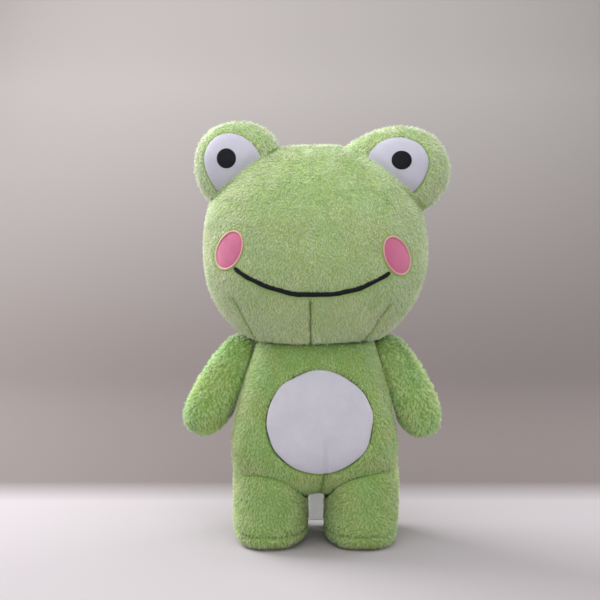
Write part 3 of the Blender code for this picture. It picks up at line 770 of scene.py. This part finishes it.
def pile_mesh(name, cover, nap, seed):
    """Flat pointed strands that grow from a cover, in tufts that lean with the nap."""
    nap = PLAIN_NAP | nap
    random = np.random.default_rng(seed)
    cover.calc_loop_triangles()
    triangles = np.zeros(len(cover.loop_triangles) * CORNERS, np.int32)
    cover.loop_triangles.foreach_get("vertices", triangles)
    triangles = triangles.reshape(-1, CORNERS)
    points, normals = read(cover.vertices, "co"), read(cover.vertices, "normal")
    corners = points[triangles]
    areas = np.cross(corners[:, 1] - corners[:, 0], corners[:, 2] - corners[:, 0])
    areas = np.linalg.norm(areas, axis=1) / 2
    count = int(areas.sum() / MM ** 2 * NAP_DENSITY)
    chosen = random.choice(len(triangles), count, p=areas / areas.sum())
    shares = random.dirichlet(np.ones(CORNERS), count)
    roots = (corners[chosen] * shares[:, :, None]).sum(axis=1)
    outward = (normals[triangles[chosen]] * shares[:, :, None]).sum(axis=1)
    grown = nap["grows"](roots) & (nap["edges"](roots) > BARE_SEAM)
    roots, outward = roots[grown], unit(outward[grown])
    count = len(roots)

    flow = nap["flow"](roots)
    for axis in range(3):
        flow[:, axis] += nap["swirl"] * ripple(roots, SWIRL_SIZE, seed + axis)
    near = 1 - smooth(0, EDGE_REACH, nap["edges"](roots))
    parted = PARTED + PARTED_WAVER * ripple(roots, PARTING_WAVE, seed + 7)
    flow += (parted * near)[:, None] * soft_side(nap["edges"], roots)
    flow -= (flow * outward).sum(axis=1)[:, None] * outward
    flow = unit(flow, 1e-6)

    middles = random.choice(count, max(count // nap["tuft"], 1), replace=False)
    tree = kdtree.KDTree(len(middles))
    for at, middle in enumerate(middles):
        tree.insert(roots[middle], at)
    tree.balance()
    tuft = np.array([tree.find(root)[1] for root in roots])
    turn = random.normal(size=(len(middles), 3)) * nap["tuft_spread"]
    direction = outward * (1 - LEAN) + flow * LEAN + turn[tuft]
    direction += random.normal(size=(count, 3)) * STRAND_SPREAD
    rise = (direction * outward).sum(axis=1)
    direction = unit(direction + outward * np.maximum(LEAST_RISE - rise, 0)[:, None])
    # Here and there the locks lean apart: the strands there are shorter and painted darker, a painted
    # shade that draws a short wavy crease.
    creased = np.exp(-((ripple(roots, CREASE_WAVE, seed + 8) / CREASE_SHARE) ** 2))
    creased *= nap["creases"] * smooth(*CREASE_FADE, ripple(roots, CREASE_PATCH, seed + 9))
    length = nap["length"] * (1 - nap["edge_trim"] * near) * nap["trim"](roots)
    length *= 1 - CREASE_TRIM * creased
    length *= random.uniform(*STRAND_LENGTHS, count) * random.uniform(*TUFT_LENGTHS, len(middles))[tuft]
    tips = roots + direction * length[:, None]
    members = np.bincount(tuft, minlength=len(middles))
    gathered = np.stack([np.bincount(tuft, tips[:, axis], len(middles)) for axis in range(3)], axis=1)
    gathered /= np.maximum(members, 1)[:, None]
    tips += nap["gather"] * (gathered[tuft] - tips) * (1 - near)[:, None]
    tips[:, 2] = np.maximum(tips[:, 2], FLOOR_CLEARANCE)

    # Each strand is turned about its own length, and its front is the side that faces out more.
    direction = unit(tips - roots)
    side = unit(np.cross(direction, outward), 1e-9)
    upper = np.cross(side, direction)
    twist = random.uniform(-math.pi / 2, math.pi / 2, count)
    own = upper * np.cos(twist)[:, None] + side * np.sin(twist)[:, None]
    across = side * np.cos(twist)[:, None] - upper * np.sin(twist)[:, None]
    sunk = roots - outward * ROOT_SINK
    strands = np.stack([sunk - across * STRAND_WIDTH / 2, sunk + across * STRAND_WIDTH / 2, tips], axis=1)

    faces = np.arange(count * CORNERS)
    mesh = bpy.data.meshes.new(name)
    mesh.vertices.add(count * CORNERS)
    mesh.vertices.foreach_set("co", strands.astype(np.float32).ravel())
    mesh.loops.add(faces.size)
    mesh.loops.foreach_set("vertex_index", faces.astype(np.int32))
    mesh.polygons.add(count)
    mesh.polygons.foreach_set("loop_start", np.arange(0, faces.size, CORNERS, dtype=np.int32))
    mesh.update(calc_edges=True)
    mesh.shade_smooth()
    # Light scatters on through real pile, so it shades as the cloth below it does, not as the
    # sides of its strands: the normals lean from the cover's towards the strand's own.
    facing = unit(outward * (1 - OWN_SHADING) + own * OWN_SHADING)
    mesh.normals_split_custom_set_from_vertices(np.repeat(facing, CORNERS, axis=0).astype(np.float32))

    along = np.tile([0.0, 0.0, 1.0], count)
    tone = nap["tone"] + PATCH_TONES * ripple(roots, BRUSHED_PATCH, seed + 5)
    tone += LOCK_TONES * ripple(roots, BRUSHED_LOCK, seed + 6)
    tone += random.normal(size=len(middles))[tuft] * TUFT_TONES + random.normal(size=count) * STRAND_TONES
    # The tone is lowered near seams, patch edges and where the arms touch, and in the creases: painted shade.
    tone = np.clip(tone - SEAM_SHADE * near - creased, 0, 1)
    for field, values in (("nap", along), ("tone", np.repeat(tone, CORNERS))):
        attribute = mesh.attributes.new(field, "FLOAT", "POINT")
        attribute.data.foreach_set("value", values.astype(np.float32))

    # The bake's own map: a grid of cells, one to a strand.
    cells = math.ceil(math.sqrt(count))
    cell = np.stack([np.arange(count) % cells, np.arange(count) // cells], axis=1)[:, None, :]
    places = (cell + np.array(CELL_CORNERS)) / cells
    mesh.uv_layers.new(name="OFBake").data.foreach_set("uv", places.astype(np.float32).ravel())
    return mesh


def ellipse_edge(points, middle, sizes, lean):
    """How far points of the front lie outside a leaning ellipse, and below 0 inside it."""
    x, z = points[:, 0] - middle[0], points[:, 2] - middle[1]
    across, upward = turned(lean, x, z)
    radius = np.hypot(across / sizes[0], upward / sizes[1])
    distance = (radius - 1) * np.hypot(across, upward) / np.maximum(radius, 1e-6)
    return np.where(points[:, 1] < 0, distance, FAR)


def mouth_distance(points):
    """The distance from points of the face to the smile's line, in the front view."""
    x = np.clip(points[:, 0], MOUTH_LEFT[0], MOUTH_RIGHT[0])
    slope = (mouth_height(x + MM) - mouth_height(x - MM)) / (2 * MM)
    beside = np.abs(points[:, 2] - mouth_height(x)) / np.sqrt(1 + slope ** 2)
    distance = np.hypot(beside, points[:, 0] - x)
    return np.where(points[:, 1] < 0, distance, FAR)


def face_edges(points):
    """The distance to the nearest cheek, or to the smile."""
    cheeks = [
        ellipse_edge(points, cheek["middle"], CHEEK_SIZES, cheek["lean"]) - CHEEK_BORDER
        for cheek in CHEEKS.values()
    ]
    return np.minimum(np.minimum(*cheeks), mouth_distance(points) - MOUTH_THICKNESS / 2)


def head_edges(points):
    """The distance to whatever the head's pile is trimmed short beside."""
    return np.minimum(head_seams(points), np.maximum(face_edges(points), 0))


def gauge(form, points):
    """How far out points lie in a form: 0 at its centre, 1 on its surface."""
    x, y, z = (points - np.array(form["centre"])).T
    across, height = turned(form.get("lean", 0.0), x, z)
    front, back = form["depths"]
    top_power, bottom_power, level_power = form["powers"]
    power = np.where(height > 0, top_power, bottom_power)
    height = np.abs(height) / np.where(height > 0, form["rise"], form["drop"])
    level = np.abs(across / form["half_width"]) ** level_power
    level = level + np.abs(y / np.where(y > 0, back, front)) ** level_power
    return (level ** (power / level_power) + height ** power) ** (1 / power)


def in_bump(word, points):
    """True where the head's surface lies under a bump."""
    x, y, z = points.T
    inside = gauge(BUMPS[word], points) < 1
    flat = points.copy()
    flat[:, 1] = BUMPS[word]["centre"][1]
    behind_white = (y < 0) & (above_crease(word, x, z) > 0) & (gauge(BUMPS[word], flat) < 1)
    return inside & ((y > 0) | (above_crease(word, x, z) > 0)) | behind_white


def head_grows(points):
    """True where the head's pile stands."""
    shown = (points[:, 2] > neck_seam + CAP_MARGIN) & (face_edges(points) > 0)
    return shown & ~in_bump("left", points) & ~in_bump("right", points)


CREASE_PILE_REACH = (2 * MM, 8 * MM)
CREASE_PILE_PULL = 2.2


def head_flow(points):
    """The way the head's nap lies: down, but up over the white patches beside the creases."""
    flow = downward(points)
    for inner, outer in CREASES.values():
        upward = np.array([-(outer[1] - inner[1]), 0, outer[0] - inner[0]])
        upward *= math.copysign(1, upward[2]) / np.linalg.norm(upward)
        near = 1 - smooth(*CREASE_PILE_REACH, line_distance(points, inner, outer))
        flow += CREASE_PILE_PULL * (near * (points[:, 1] < 0))[:, None] * upward
    return flow


# The head's pile is dyed pale, and its tips are painted almost white as painted rim light.
head_pile = crystal_pile("crystal_pile_pale_green", "#ADC480", "#C8DAA2", "#E0EBC2", "#F6F9E8")
QUARTERS = {
    "front_left": (-1, -1),
    "front_right": (1, -1),
    "back_left": (-1, 1),
    "back_right": (1, 1),
}
for at, (word, (across, deep)) in enumerate(QUARTERS.items()):

    def quarter_grows(points, across=across, deep=deep):
        """One quarter of the head's pile."""
        return head_grows(points) & (points[:, 0] * across > 0) & (points[:, 1] * deep > 0)

    nap = {"grows": quarter_grows, "edges": head_edges, "length": HEAD_NAP, "flow": head_flow}
    mesh = pile_mesh(f"head_pile_{word}", head_mesh, nap, seed=40 + at)
    add_object(f"head_pile_{word}", mesh, head_pile, "head")

for at, (word, bump) in enumerate(BUMPS.items()):

    def bump_edges(points, word=word):
        """The distance from a bump's points to its white patch."""
        return np.maximum(outline_distance(points, WHITES[word]), 0)

    def bump_grows(points, word=word):
        """True on a bump outside its white patch and outside the head."""
        x, y, z = points.T
        bare = outline_distance(points, WHITES[word]) < BARE_EDGE
        hidden = np.where(y < BUMPS[word]["centre"][1], above_crease(word, x, z) < 0, gauge(HEAD, points) < 1)
        return ~bare & ~hidden

    nap = {
        "grows": bump_grows,
        "edges": bump_edges,
        "length": BUMP_NAP,
        "edge_trim": 0.5,
        "tuft_spread": 0.34,
        # The bumps' pile is painted paler than the head's: painted light on the bumps.
        "tone": 0.85,
    }
    mesh = pile_mesh(f"eye_bump_pile_{word}", bump["mesh"], nap, seed=50 + at)
    add_object(f"eye_bump_pile_{word}", mesh, head_pile, "head")

# Body cover.
# Two front panels joined down the middle and one back panel, of a deeper green plush. It is round
# below, where the legs swing, and drawn up to the neck seam above. The pile hides the chest's seam.

hip = next(joint["pos_m"] for joint in frame["joints"] if joint["name"] == "hip_right")
body_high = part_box("body_back_panel")[1]
BODY_SIDE_POWER = 3.8
BODY_CHEST_POWER = 2.6
BODY_TAPER = 0.3147
# The body's outline would close above the neck: the neck cuts it at this share of its rise.
BODY_NECK_SHARE = 0.7227
BODY_RISE = (neck_height - hip[2]) / BODY_NECK_SHARE
# The front seam is gathered below the belly. Distances to it are drawn in to this share, so it
# shows more than twice as wide as the others.
FRONT_SEAM = ((8.6 * MM, 80 * MM), (4 * MM, 36 * MM))
FRONT_SEAM_SHARE = 0.4
body_half_width = body_high.x
body_radius = body_high.y
BELLY_MIDDLE = (3.5 * MM, 109.2 * MM)
BELLY_SIZES = (43 * MM, 42.3 * MM)
CROTCH_LIFT = 3 * MM
CROTCH_WIDTH = 16 * MM
CROTCH_TOP = 70 * MM
CROTCH_FULL = 0.6 * CROTCH_TOP
BODY_COUNTS = (150, 260)


def body_form(along, around):
    """The body: round about the hip axis below it, and drawn up to the neck above it."""
    sweep, heading = math.pi * along, 2 * math.pi * around
    girth = bent(np.maximum(np.sin(sweep), 0), BODY_SIDE_POWER)
    across = -body_half_width * bent(np.cos(sweep), BODY_SIDE_POWER)
    turn, lift = np.cos(heading), np.sin(heading)
    upper = lift > 0
    lift = girth * np.where(upper, bent(lift, BODY_CHEST_POWER), lift)
    deep = body_radius * girth * np.where(upper, bent(turn, BODY_CHEST_POWER), turn)
    across = across * np.where(upper, 1 - BODY_TAPER * lift, 1)
    height = hip[2] + lift * np.where(upper, BODY_RISE, body_radius)
    return np.stack([across, deep, height], axis=-1)


def body_front(x, z):
    """The y of the body's front surface at places in X and Z."""
    lift = (z - hip[2]) / np.where(z > hip[2], BODY_RISE, body_radius)
    taper = np.where(lift > 0, 1 - BODY_TAPER * lift, 1)
    side = np.clip(np.abs(x / taper / body_half_width), 0, 1)
    girth = (1 - side ** BODY_SIDE_POWER) ** (1 / BODY_SIDE_POWER)
    share = np.clip(np.abs(lift) / np.maximum(girth, 1e-6), 0, 1)
    power = np.where(lift > 0, BODY_CHEST_POWER, 2)
    return -body_radius * girth * (1 - share ** power) ** (1 / power)


def belly_edge(points):
    """The distance outside the belly disc, and below 0 inside it."""
    return ellipse_edge(points, BELLY_MIDDLE, BELLY_SIZES, 0.0)


def body_seams(points):
    """The distance to the nearest seam of the body."""
    x, y, z = points.T
    gathered = FRONT_SEAM_SHARE * line_distance(points, *FRONT_SEAM)
    front = np.minimum(gathered, np.abs(belly_edge(points)))
    front = np.where(y < 0, front, FAR)
    neck = np.abs(z - neck_seam) + HALF_HIDDEN_SEAM
    return np.minimum(np.minimum(front, np.abs(y) + HIDDEN_SEAM), neck)


def body_limit(points):
    """Keeps the body below the neck seam, and draws its underside up where the front seam ends."""
    points[:, 2] = np.minimum(points[:, 2], neck_seam - NECK_CLEARANCE)
    beside = np.exp(-((points[:, 0] - FRONT_SEAM[1][0]) / CROTCH_WIDTH) ** 2)
    points[:, 2] += CROTCH_LIFT * beside * smooth(CROTCH_TOP, CROTCH_FULL, points[:, 2])
    return points


# Its seam colour is nearly black: the dark thread, and painted shade in the seams' grooves.
body_backing = knitted_backing("knitted_backing_green", "#769A4A", "#8AAE5E", "#26331A")
body_mesh = sewn_mesh("body_cover", body_form, BODY_COUNTS, body_seams, body_limit, seed=61)
body_cover = add_object("body_cover", body_mesh, body_backing, "body")
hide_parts("body_front_left_panel", "body_front_right_panel", "body_back_panel", "body_stuffing")

# Belly disc.
# A round of white velour let in over the front seam, with its edge turned under. The filling
# rounds it out, and the seam behind it makes a faint crease low down.

BELLY_RISE = 1.5 * MM
BELLY_PUFF = 1.2 * MM
BELLY_STEPS = 240
BELLY_RINGS = 56
BELLY_WAVER, BELLY_WAVER_LENGTH = 0.7 * MM, 20 * MM
BELLY_CREASE = (34 * MM, 8 * MM)
BELLY_CREASE_DEPTH = 1.8 * MM
BELLY_CREASE_WIDTH = 1.4 * MM


def creased_front(x, z):
    """The body's front with a shallow crease where the seam ends behind the disc."""
    low = smooth(*BELLY_CREASE, z - (BELLY_MIDDLE[1] - BELLY_SIZES[1]))
    beside = np.exp(-((x - FRONT_SEAM[0][0]) / BELLY_CREASE_WIDTH) ** 2)
    return body_front(x, z) + BELLY_CREASE_DEPTH * low * beside


edge = ellipse(BELLY_MIDDLE, BELLY_SIZES, steps=BELLY_STEPS)
waver = BELLY_WAVER * ripple(np.insert(edge, 1, 0, axis=1), BELLY_WAVER_LENGTH, 91)
edge += waver[:, None] * (edge - BELLY_MIDDLE) / BELLY_SIZES
mesh = disc_mesh("belly_velour", edge, creased_front, BELLY_RISE, BELLY_PUFF, rings=BELLY_RINGS)
belly = add_object("belly_velour", mesh, white_velour, "body")
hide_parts("belly_disc")

# Arms.
# Two mitten shapes of the same plush, stuffed and sewn flat against the body's shoulders. Their
# pile is longer and shaggier, and they hang a little out from the body.

ARM_LENGTH = 92 * MM
ARM_HALF_WIDTH = 19.8 * MM
ARM_HANGS = {"left": math.radians(32), "right": math.radians(28)}
# The right arm's pile is painted paler than the left's: painted light, as the right arm is lit more.
ARM_LIT_TONES = {"left": 0.5, "right": 0.9}
SHOULDER_INSET = 20.5 * MM
SHOULDER_PROUD = 9 * MM
ARM_NAP = 4.1 * MM
ARM_COUNTS = (90, 110)
ARM_CLEARANCE = 0.5 * MM
HEAD_CLEARANCE = 1.03
SIDES = {"left": -1, "right": 1}
# Where an arm and the body press on each other, their pile is shortened and painted darker as if a
# seam lay there, at a third of the distance and never so near that the backing is bare. The
# darkening is painted shade between the parts.
PRESSED_REACH = 3
PRESSED_LEAST = 0.5 * MM


def side_seam(points):
    """The distance to the seam between a limb's front and back halves, which the pile half hides."""
    return np.abs(points[:, 1]) + HIDDEN_SEAM


# The arms' pile is longer and looser than the body's. Its colours are more saturated, and painted
# paler than the body's as painted light on the arms.
lit_shaggy_pile = crystal_pile("crystal_pile_green_shaggy", "#8FBE50", "#AED76F", "#D0EE9C", "#F0FCD2")
ARMS = {}
for word, side in SIDES.items():
    shoulder = next(joint for joint in frame["joints"] if joint["name"] == f"shoulder_{word}")
    pivot, outward = np.array(shoulder["pos_m"]), np.array(shoulder["axis"]) * side
    outward = outward * (1 if outward[0] * side > 0 else -1)
    hang = ARM_HANGS[word]
    down = np.array([side * math.sin(hang), 0, -math.cos(hang)])
    ARM = {
        "centre": tuple(pivot + down * (ARM_LENGTH / 2 - SHOULDER_INSET)),
        "half_width": ARM_HALF_WIDTH,
        "depths": (ARM_HALF_WIDTH, ARM_HALF_WIDTH),
        "rise": ARM_LENGTH / 2,
        "drop": ARM_LENGTH / 2,
        "powers": (2.8, 2.8, 2.2),
        "lean": -side * hang,
        "top_share": 0.98,
    }
    ARMS[word] = ARM
    seat = pivot - outward * SHOULDER_PROUD

    def off_body(points, seat=seat, outward=outward):
        """How far points lie outside the flat where the arm meets the body."""
        return (points - seat) @ outward

    def arm_limit(points, outward=outward):
        """Keeps an arm off the body's side and off the head."""
        points += outward * np.maximum(ARM_CLEARANCE - off_body(points), 0)[:, None]
        inside = np.minimum(gauge(HEAD, points) / (1 + ARM_CLEARANCE / HEAD["drop"]), 1)
        centre = np.array(HEAD["centre"])
        return centre + (points - centre) / inside[:, None]

    def arm_edges(points):
        """The distance to an arm's side seam, or a third of the distance to the body's side."""
        pressed = (off_body(points) - ARM_CLEARANCE) / PRESSED_REACH
        return np.minimum(side_seam(points), np.maximum(pressed, PRESSED_LEAST))

    def arm_grows(points):
        """True where an arm's pile stands."""
        return (off_body(points) > ARM_CLEARANCE + BARE_EDGE) & (gauge(HEAD, points) > HEAD_CLEARANCE)

    mesh = sewn_mesh(f"arm_cover_{word}", egg(ARM), ARM_COUNTS, side_seam, arm_limit, seed=71)
    cover = add_object(f"arm_cover_{word}", mesh, body_backing, f"arm_{word}")
    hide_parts(*[f"arm_{part}_{word}" for part in ("front", "back", "stuffing")])
    nap = {
        "grows": arm_grows,
        "edges": arm_edges,
        "length": ARM_NAP,
        "edge_trim": 0.35,
        "tuft": 13,
        "tuft_spread": 0.36,
        "gather": 0.58,
        "swirl": 0.8,
        "creases": 0.7,
        "tone": ARM_LIT_TONES[word],
    }
    pile = pile_mesh(f"arm_pile_{word}", mesh, nap, seed=72)
    add_object(f"arm_pile_{word}", pile, lit_shaggy_pile, f"arm_{word}")

# Pile of the body.
# The same short nap all over, shortened under the arms and painted darker there as painted shade,
# and clipped under the body. It comes after the arms because they press it.

BODY_NAP = 3.3 * MM
CLIPPED_SHARE = 0.6
CLIPPED_HEIGHTS = (45 * MM, 58 * MM)
BELLY_BARE_EDGE = 0.8 * MM


def body_trim(points):
    """The pile is clipped short under the body, where the legs swing."""
    return CLIPPED_SHARE + (1 - CLIPPED_SHARE) * smooth(*CLIPPED_HEIGHTS, points[:, 2])


def body_grows(points):
    """True where the body's pile stands."""
    return (points[:, 2] < neck_seam - CAP_MARGIN) & (belly_edge(points) > BELLY_BARE_EDGE)


def body_edges(points):
    """The distance to the body's seams and to the belly disc."""
    return np.minimum(body_seams(points), np.maximum(belly_edge(points), 0))


def pressed_shaded_edges(points):
    """The distance to the body's seams, or a third of the distance to an arm."""
    edge = body_edges(points)
    for form in ARMS.values():
        gap = np.maximum(gauge(form, points) - 1, 0) * ARM_HALF_WIDTH
        edge = np.minimum(edge, np.maximum(gap / PRESSED_REACH, PRESSED_LEAST))
    return edge


# The body's pile is dyed a deeper, yellower green than the head's.
body_pile = crystal_pile("crystal_pile_green", "#94B655", "#AECB70", "#CDE39A", "#ECF5CA")
for at, (word, facing) in enumerate((("front", -1), ("back", 1))):

    def half_grows(points, facing=facing):
        """One half of the body's pile."""
        return body_grows(points) & (points[:, 1] * facing > 0)

    nap = {"grows": half_grows, "edges": pressed_shaded_edges, "length": BODY_NAP, "trim": body_trim}
    mesh = pile_mesh(f"body_pile_{word}", body_mesh, nap, seed=62 + at)
    add_object(f"body_pile_{word}", mesh, body_pile, "body")

# Legs.
# Two stuffed stumps hollowed at the top to the body's round underside. An oval sole is sewn in
# below, so the seam shows as a line round each foot, and the toy's weight presses its pile flat.

LEG_TOP = 76 * MM
# Both legs sit a little to the right, as sewn, and bulge a little past their solids.
LEG_SHIFT = 1.2 * MM
LEG_PLUMP = 1.5 * MM
FOOT_FORWARD = 2.5 * MM
FOOT_HEIGHT = 30 * MM
SOLE_SEAM = 12.5 * MM
SOLE_CUT = 0.5 * MM
SOLE_PILE = 1.2 * MM
LEG_COUNTS = (110, 150)
LEG_CLEARANCE = 0.8 * MM
HIP_BARE_EDGE = 0.6 * MM
INNER_SHARE = 0.62
INNER_REACH = (6 * MM, 24 * MM)


def underside(points):
    """The height of the body's round underside above or below a point."""
    side = np.clip(np.abs(points[:, 0]) / body_half_width, 0, 1)
    reach = body_radius * (1 - side ** BODY_SIDE_POWER) ** (1 / BODY_SIDE_POWER) + LEG_CLEARANCE
    return hip[2] - np.sqrt(np.maximum(reach ** 2 - points[:, 1] ** 2, 0))


def leg_limit(points):
    """Keeps a leg under the body, and above the floor by the depth of the sole's pressed pile."""
    points[:, 2] = np.clip(points[:, 2], SOLE_PILE, underside(points))
    return points


def leg_seams(points):
    """The distance to a leg's side seams and its sole seam."""
    side = np.where(points[:, 2] > SOLE_SEAM, side_seam(points), FAR)
    return np.minimum(side, np.abs(points[:, 2] - SOLE_SEAM) + HALF_HIDDEN_SEAM)


def leg_edges(points):
    """The distance to a leg's seams and to the body above it."""
    return np.minimum(leg_seams(points), np.maximum(underside(points) - points[:, 2], 0))


def leg_grows(points):
    """True where a leg's pile stands."""
    return underside(points) - points[:, 2] > HIP_BARE_EDGE


for word, side in SIDES.items():

    def leg_trim(points, side=side):
        """The pile is shorter between the legs."""
        return INNER_SHARE + (1 - INNER_SHARE) * smooth(*INNER_REACH, points[:, 0] * side)

    sole_low, sole_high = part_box(f"leg_front_{word}")
    LEG = {
        "centre": ((sole_low.x + sole_high.x) / 2 + LEG_SHIFT, 0, FOOT_HEIGHT),
        "half_width": (sole_high.x - sole_low.x) / 2 + LEG_PLUMP,
        "depths": (-sole_low.y + FOOT_FORWARD, -sole_low.y),
        "rise": LEG_TOP - FOOT_HEIGHT,
        "drop": FOOT_HEIGHT + SOLE_CUT,
        "powers": (5, 6, 2.5),
    }
    mesh = sewn_mesh(f"leg_cover_{word}", egg(LEG), LEG_COUNTS, leg_seams, leg_limit, seed=81)
    cover = add_object(f"leg_cover_{word}", mesh, body_backing, f"leg_{word}")
    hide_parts(*[f"leg_{part}_{word}" for part in ("front", "back", "stuffing")], f"sole_{word}")
    nap = {
        "grows": leg_grows,
        "edges": leg_edges,
        "length": BODY_NAP,
        "tuft": 9,
        "tuft_spread": 0.28,
        "swirl": 0.9,
        "creases": 0.5,
        "trim": leg_trim,
    }
    pile = pile_mesh(f"leg_pile_{word}", mesh, nap, seed=82)
    add_object(f"leg_pile_{word}", pile, body_pile, f"leg_{word}")

# Care label.
# A blank white satin ribbon, folded double and sewn in under the body behind the legs, halfway
# between them. It hangs free and curls forward a little.

label_low, label_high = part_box("care_label")
LABEL_FOLD = 1.1 * MM
LABEL_ROWS = 40
LABEL_COLUMNS = 8
LABEL_CURL = 1.5 * MM
SATIN_RIBS = 900
RIB_DEPTH = 0.05 * MM
RIBBON_THROUGH = 0.6

# White polyester satin: smooth and faintly glossy, with fine ribs, and thin enough to let light
# through. Its real threads are 0.1 mm apart, too fine to show. A wave texture of this scale draws
# ribs 0.35 mm apart.
white_satin, tree, shader = new_cloth("white_satin_ribbon", roughness=0.35, sheen=0.2)
place = add_node(tree, "ShaderNodeTexCoord").outputs["Object"]
weave = add_node(tree, "ShaderNodeTexWave", {"Vector": place, "Scale": SATIN_RIBS}, bands_direction="Z")
shades = {MIX_SHARE: weave.outputs["Fac"], MIX_FIRST: linear("#E4E4E8"), MIX_SECOND: linear("#F6F6F8")}
shade = add_node(tree, "ShaderNodeMix", shades, data_type="RGBA").outputs[MIX_RESULT]
bump = add_node(tree, "ShaderNodeBump", {"Height": weave.outputs["Fac"], "Distance": RIB_DEPTH})
tree.links.new(shade, shader.inputs["Base Color"])
tree.links.new(bump.outputs["Normal"], shader.inputs["Normal"])
through = add_node(tree, "ShaderNodeBsdfTranslucent", {"Color": shade})
parts = {0: RIBBON_THROUGH, 1: shader.outputs[0], 2: through.outputs[0]}
thin = add_node(tree, "ShaderNodeMixShader", parts)
tree.links.new(thin.outputs[0], tree.nodes["Material Output"].inputs["Surface"])

fall = label_high.z - label_low.z - LABEL_FOLD
half_turn = math.pi * LABEL_FOLD
ribbon_length = 2 * fall + half_turn
points, faces = [], []
for row in range(LABEL_ROWS + 1):
    walked = ribbon_length * row / LABEL_ROWS
    if walked < fall:
        y, z = -LABEL_FOLD, fall - walked
    elif walked < fall + half_turn:
        angle = (walked - fall) / LABEL_FOLD
        y, z = -LABEL_FOLD * math.cos(angle), -LABEL_FOLD * math.sin(angle)
    else:
        y, z = LABEL_FOLD, walked - fall - half_turn
    curl = LABEL_CURL * (1 - z / fall) ** 2
    for column in range(LABEL_COLUMNS + 1):
        x = label_low.x + (label_high.x - label_low.x) * column / LABEL_COLUMNS
        points.append((x + LEG_SHIFT, label_low.y + y + curl, label_low.z + LABEL_FOLD + z))
for row in range(LABEL_ROWS):
    for column in range(LABEL_COLUMNS):
        low = row * (LABEL_COLUMNS + 1) + column
        high = low + LABEL_COLUMNS + 1
        faces.append((low, low + 1, high + 1, high))
mesh = new_mesh("care_label_ribbon", points, faces)
label = add_object("care_label_ribbon", mesh, white_satin, "body")
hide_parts("care_label")

# Studio.
# Pale paper under the toy that curves up into warm grey behind it. A window-like light comes from
# behind on the left, with soft ones above and in front and a small one that rims the right side.
# The camera stands where the photograph was taken from.

FLOOR_HALF_WIDTH = 2.5
FLOOR_FRONT = -2.0
SWEEP_START = 0.7
SWEEP_RADIUS = 0.5
WALL_TOP = 2.4
PALE_PAPER_END = 0.11
GREY_PAPER_START = 0.18
GREY_PAPER_TOP = 0.42
SWEEP_STEPS = 24
# Each light's place, the side of its square, its power in watts and its colour.
LIGHTS = {
    "window_light": ((-0.9, 0.5, 0.75), 0.8, 22, "#FFFFFF"),
    "overhead_light": ((-0.1, -0.35, 1.35), 1.0, 12, "#FFFFFF"),
    "front_light": ((0.2, -1.6, 0.5), 1.4, 9, "#FFFDF8"),
    "right_rim_light": ((0.9, 0.42, 0.35), 0.6, 5, "#FFFFFF"),
}
LIGHTS_AIM = (0, 0, 0.18)
AIR_LIGHT = 0.45
CAMERA_PLACE = (-12.3 * MM, -1115 * MM, 340 * MM)
CAMERA_PITCH = math.radians(7)
CAMERA_LENS = 80.5

# Matt studio paper: no gloss, pale under the toy and a warm grey behind it that pales upwards.
paper, tree, shader = new_cloth("backdrop_paper", roughness=0.9)
place = add_node(tree, "ShaderNodeTexCoord").outputs["Object"]
place = add_node(tree, "ShaderNodeSeparateXYZ", {"Vector": place}).outputs
reach = {"Value": place["Y"], "From Min": PALE_PAPER_END, "From Max": GREY_PAPER_START}
behind = add_node(tree, "ShaderNodeMapRange", reach).outputs["Result"]
reach = {"Value": place["Z"], "From Min": 0.0, "From Max": GREY_PAPER_TOP}
risen = add_node(tree, "ShaderNodeMapRange", reach).outputs["Result"]
shades = {MIX_SHARE: risen, MIX_FIRST: linear("#6E6665"), MIX_SECOND: linear("#ACA7A6")}
grey = add_node(tree, "ShaderNodeMix", shades, data_type="RGBA").outputs[MIX_RESULT]
shades = {MIX_SHARE: behind, MIX_FIRST: linear("#A8A2A6"), MIX_SECOND: grey}
shade = add_node(tree, "ShaderNodeMix", shades, data_type="RGBA").outputs[MIX_RESULT]
tree.links.new(shade, shader.inputs["Base Color"])
profile = [(FLOOR_FRONT, 0.0)]
for step in range(SWEEP_STEPS + 1):
    angle = math.pi / 2 * step / SWEEP_STEPS
    depth = SWEEP_START + SWEEP_RADIUS * math.sin(angle)
    profile.append((depth, SWEEP_RADIUS * (1 - math.cos(angle))))
profile.append((SWEEP_START + SWEEP_RADIUS, WALL_TOP))
points = [(side * FLOOR_HALF_WIDTH, y, z) for y, z in profile for side in (-1, 1)]
faces = [(2 * k, 2 * k + 1, 2 * k + 3, 2 * k + 2) for k in range(len(profile) - 1)]
mesh = new_mesh("backdrop", points, faces)
mesh.materials.append(paper)
backdrop = bpy.data.objects.new("backdrop", mesh)
bpy.context.scene.collection.objects.link(backdrop)

for name, (place, size, power, colour) in LIGHTS.items():
    lamp = bpy.data.lights.new(name, "AREA")
    lamp.shape, lamp.size = "SQUARE", size
    lamp.energy = power
    lamp.color = linear(colour)[:3]
    light = bpy.data.objects.new(name, lamp)
    light.location = place
    light.rotation_euler = (Vector(LIGHTS_AIM) - Vector(place)).to_track_quat("-Z", "Y").to_euler()
    bpy.context.scene.collection.objects.link(light)

world = bpy.data.worlds.new("studio_air")
bpy.context.scene.world = world
world.use_nodes = True
world.node_tree.nodes["Background"].inputs["Color"].default_value = linear("#FFFFFF")
world.node_tree.nodes["Background"].inputs["Strength"].default_value = AIR_LIGHT

lens = bpy.data.cameras.new("camera")
lens.lens = CAMERA_LENS
camera = bpy.data.objects.new("camera", lens)
camera.location = CAMERA_PLACE
camera.rotation_euler = (math.pi / 2 - CAMERA_PITCH, 0, 0)
bpy.context.scene.collection.objects.link(camera)
bpy.context.scene.camera = camera
bpy.context.scene.view_settings.view_transform = "Standard"
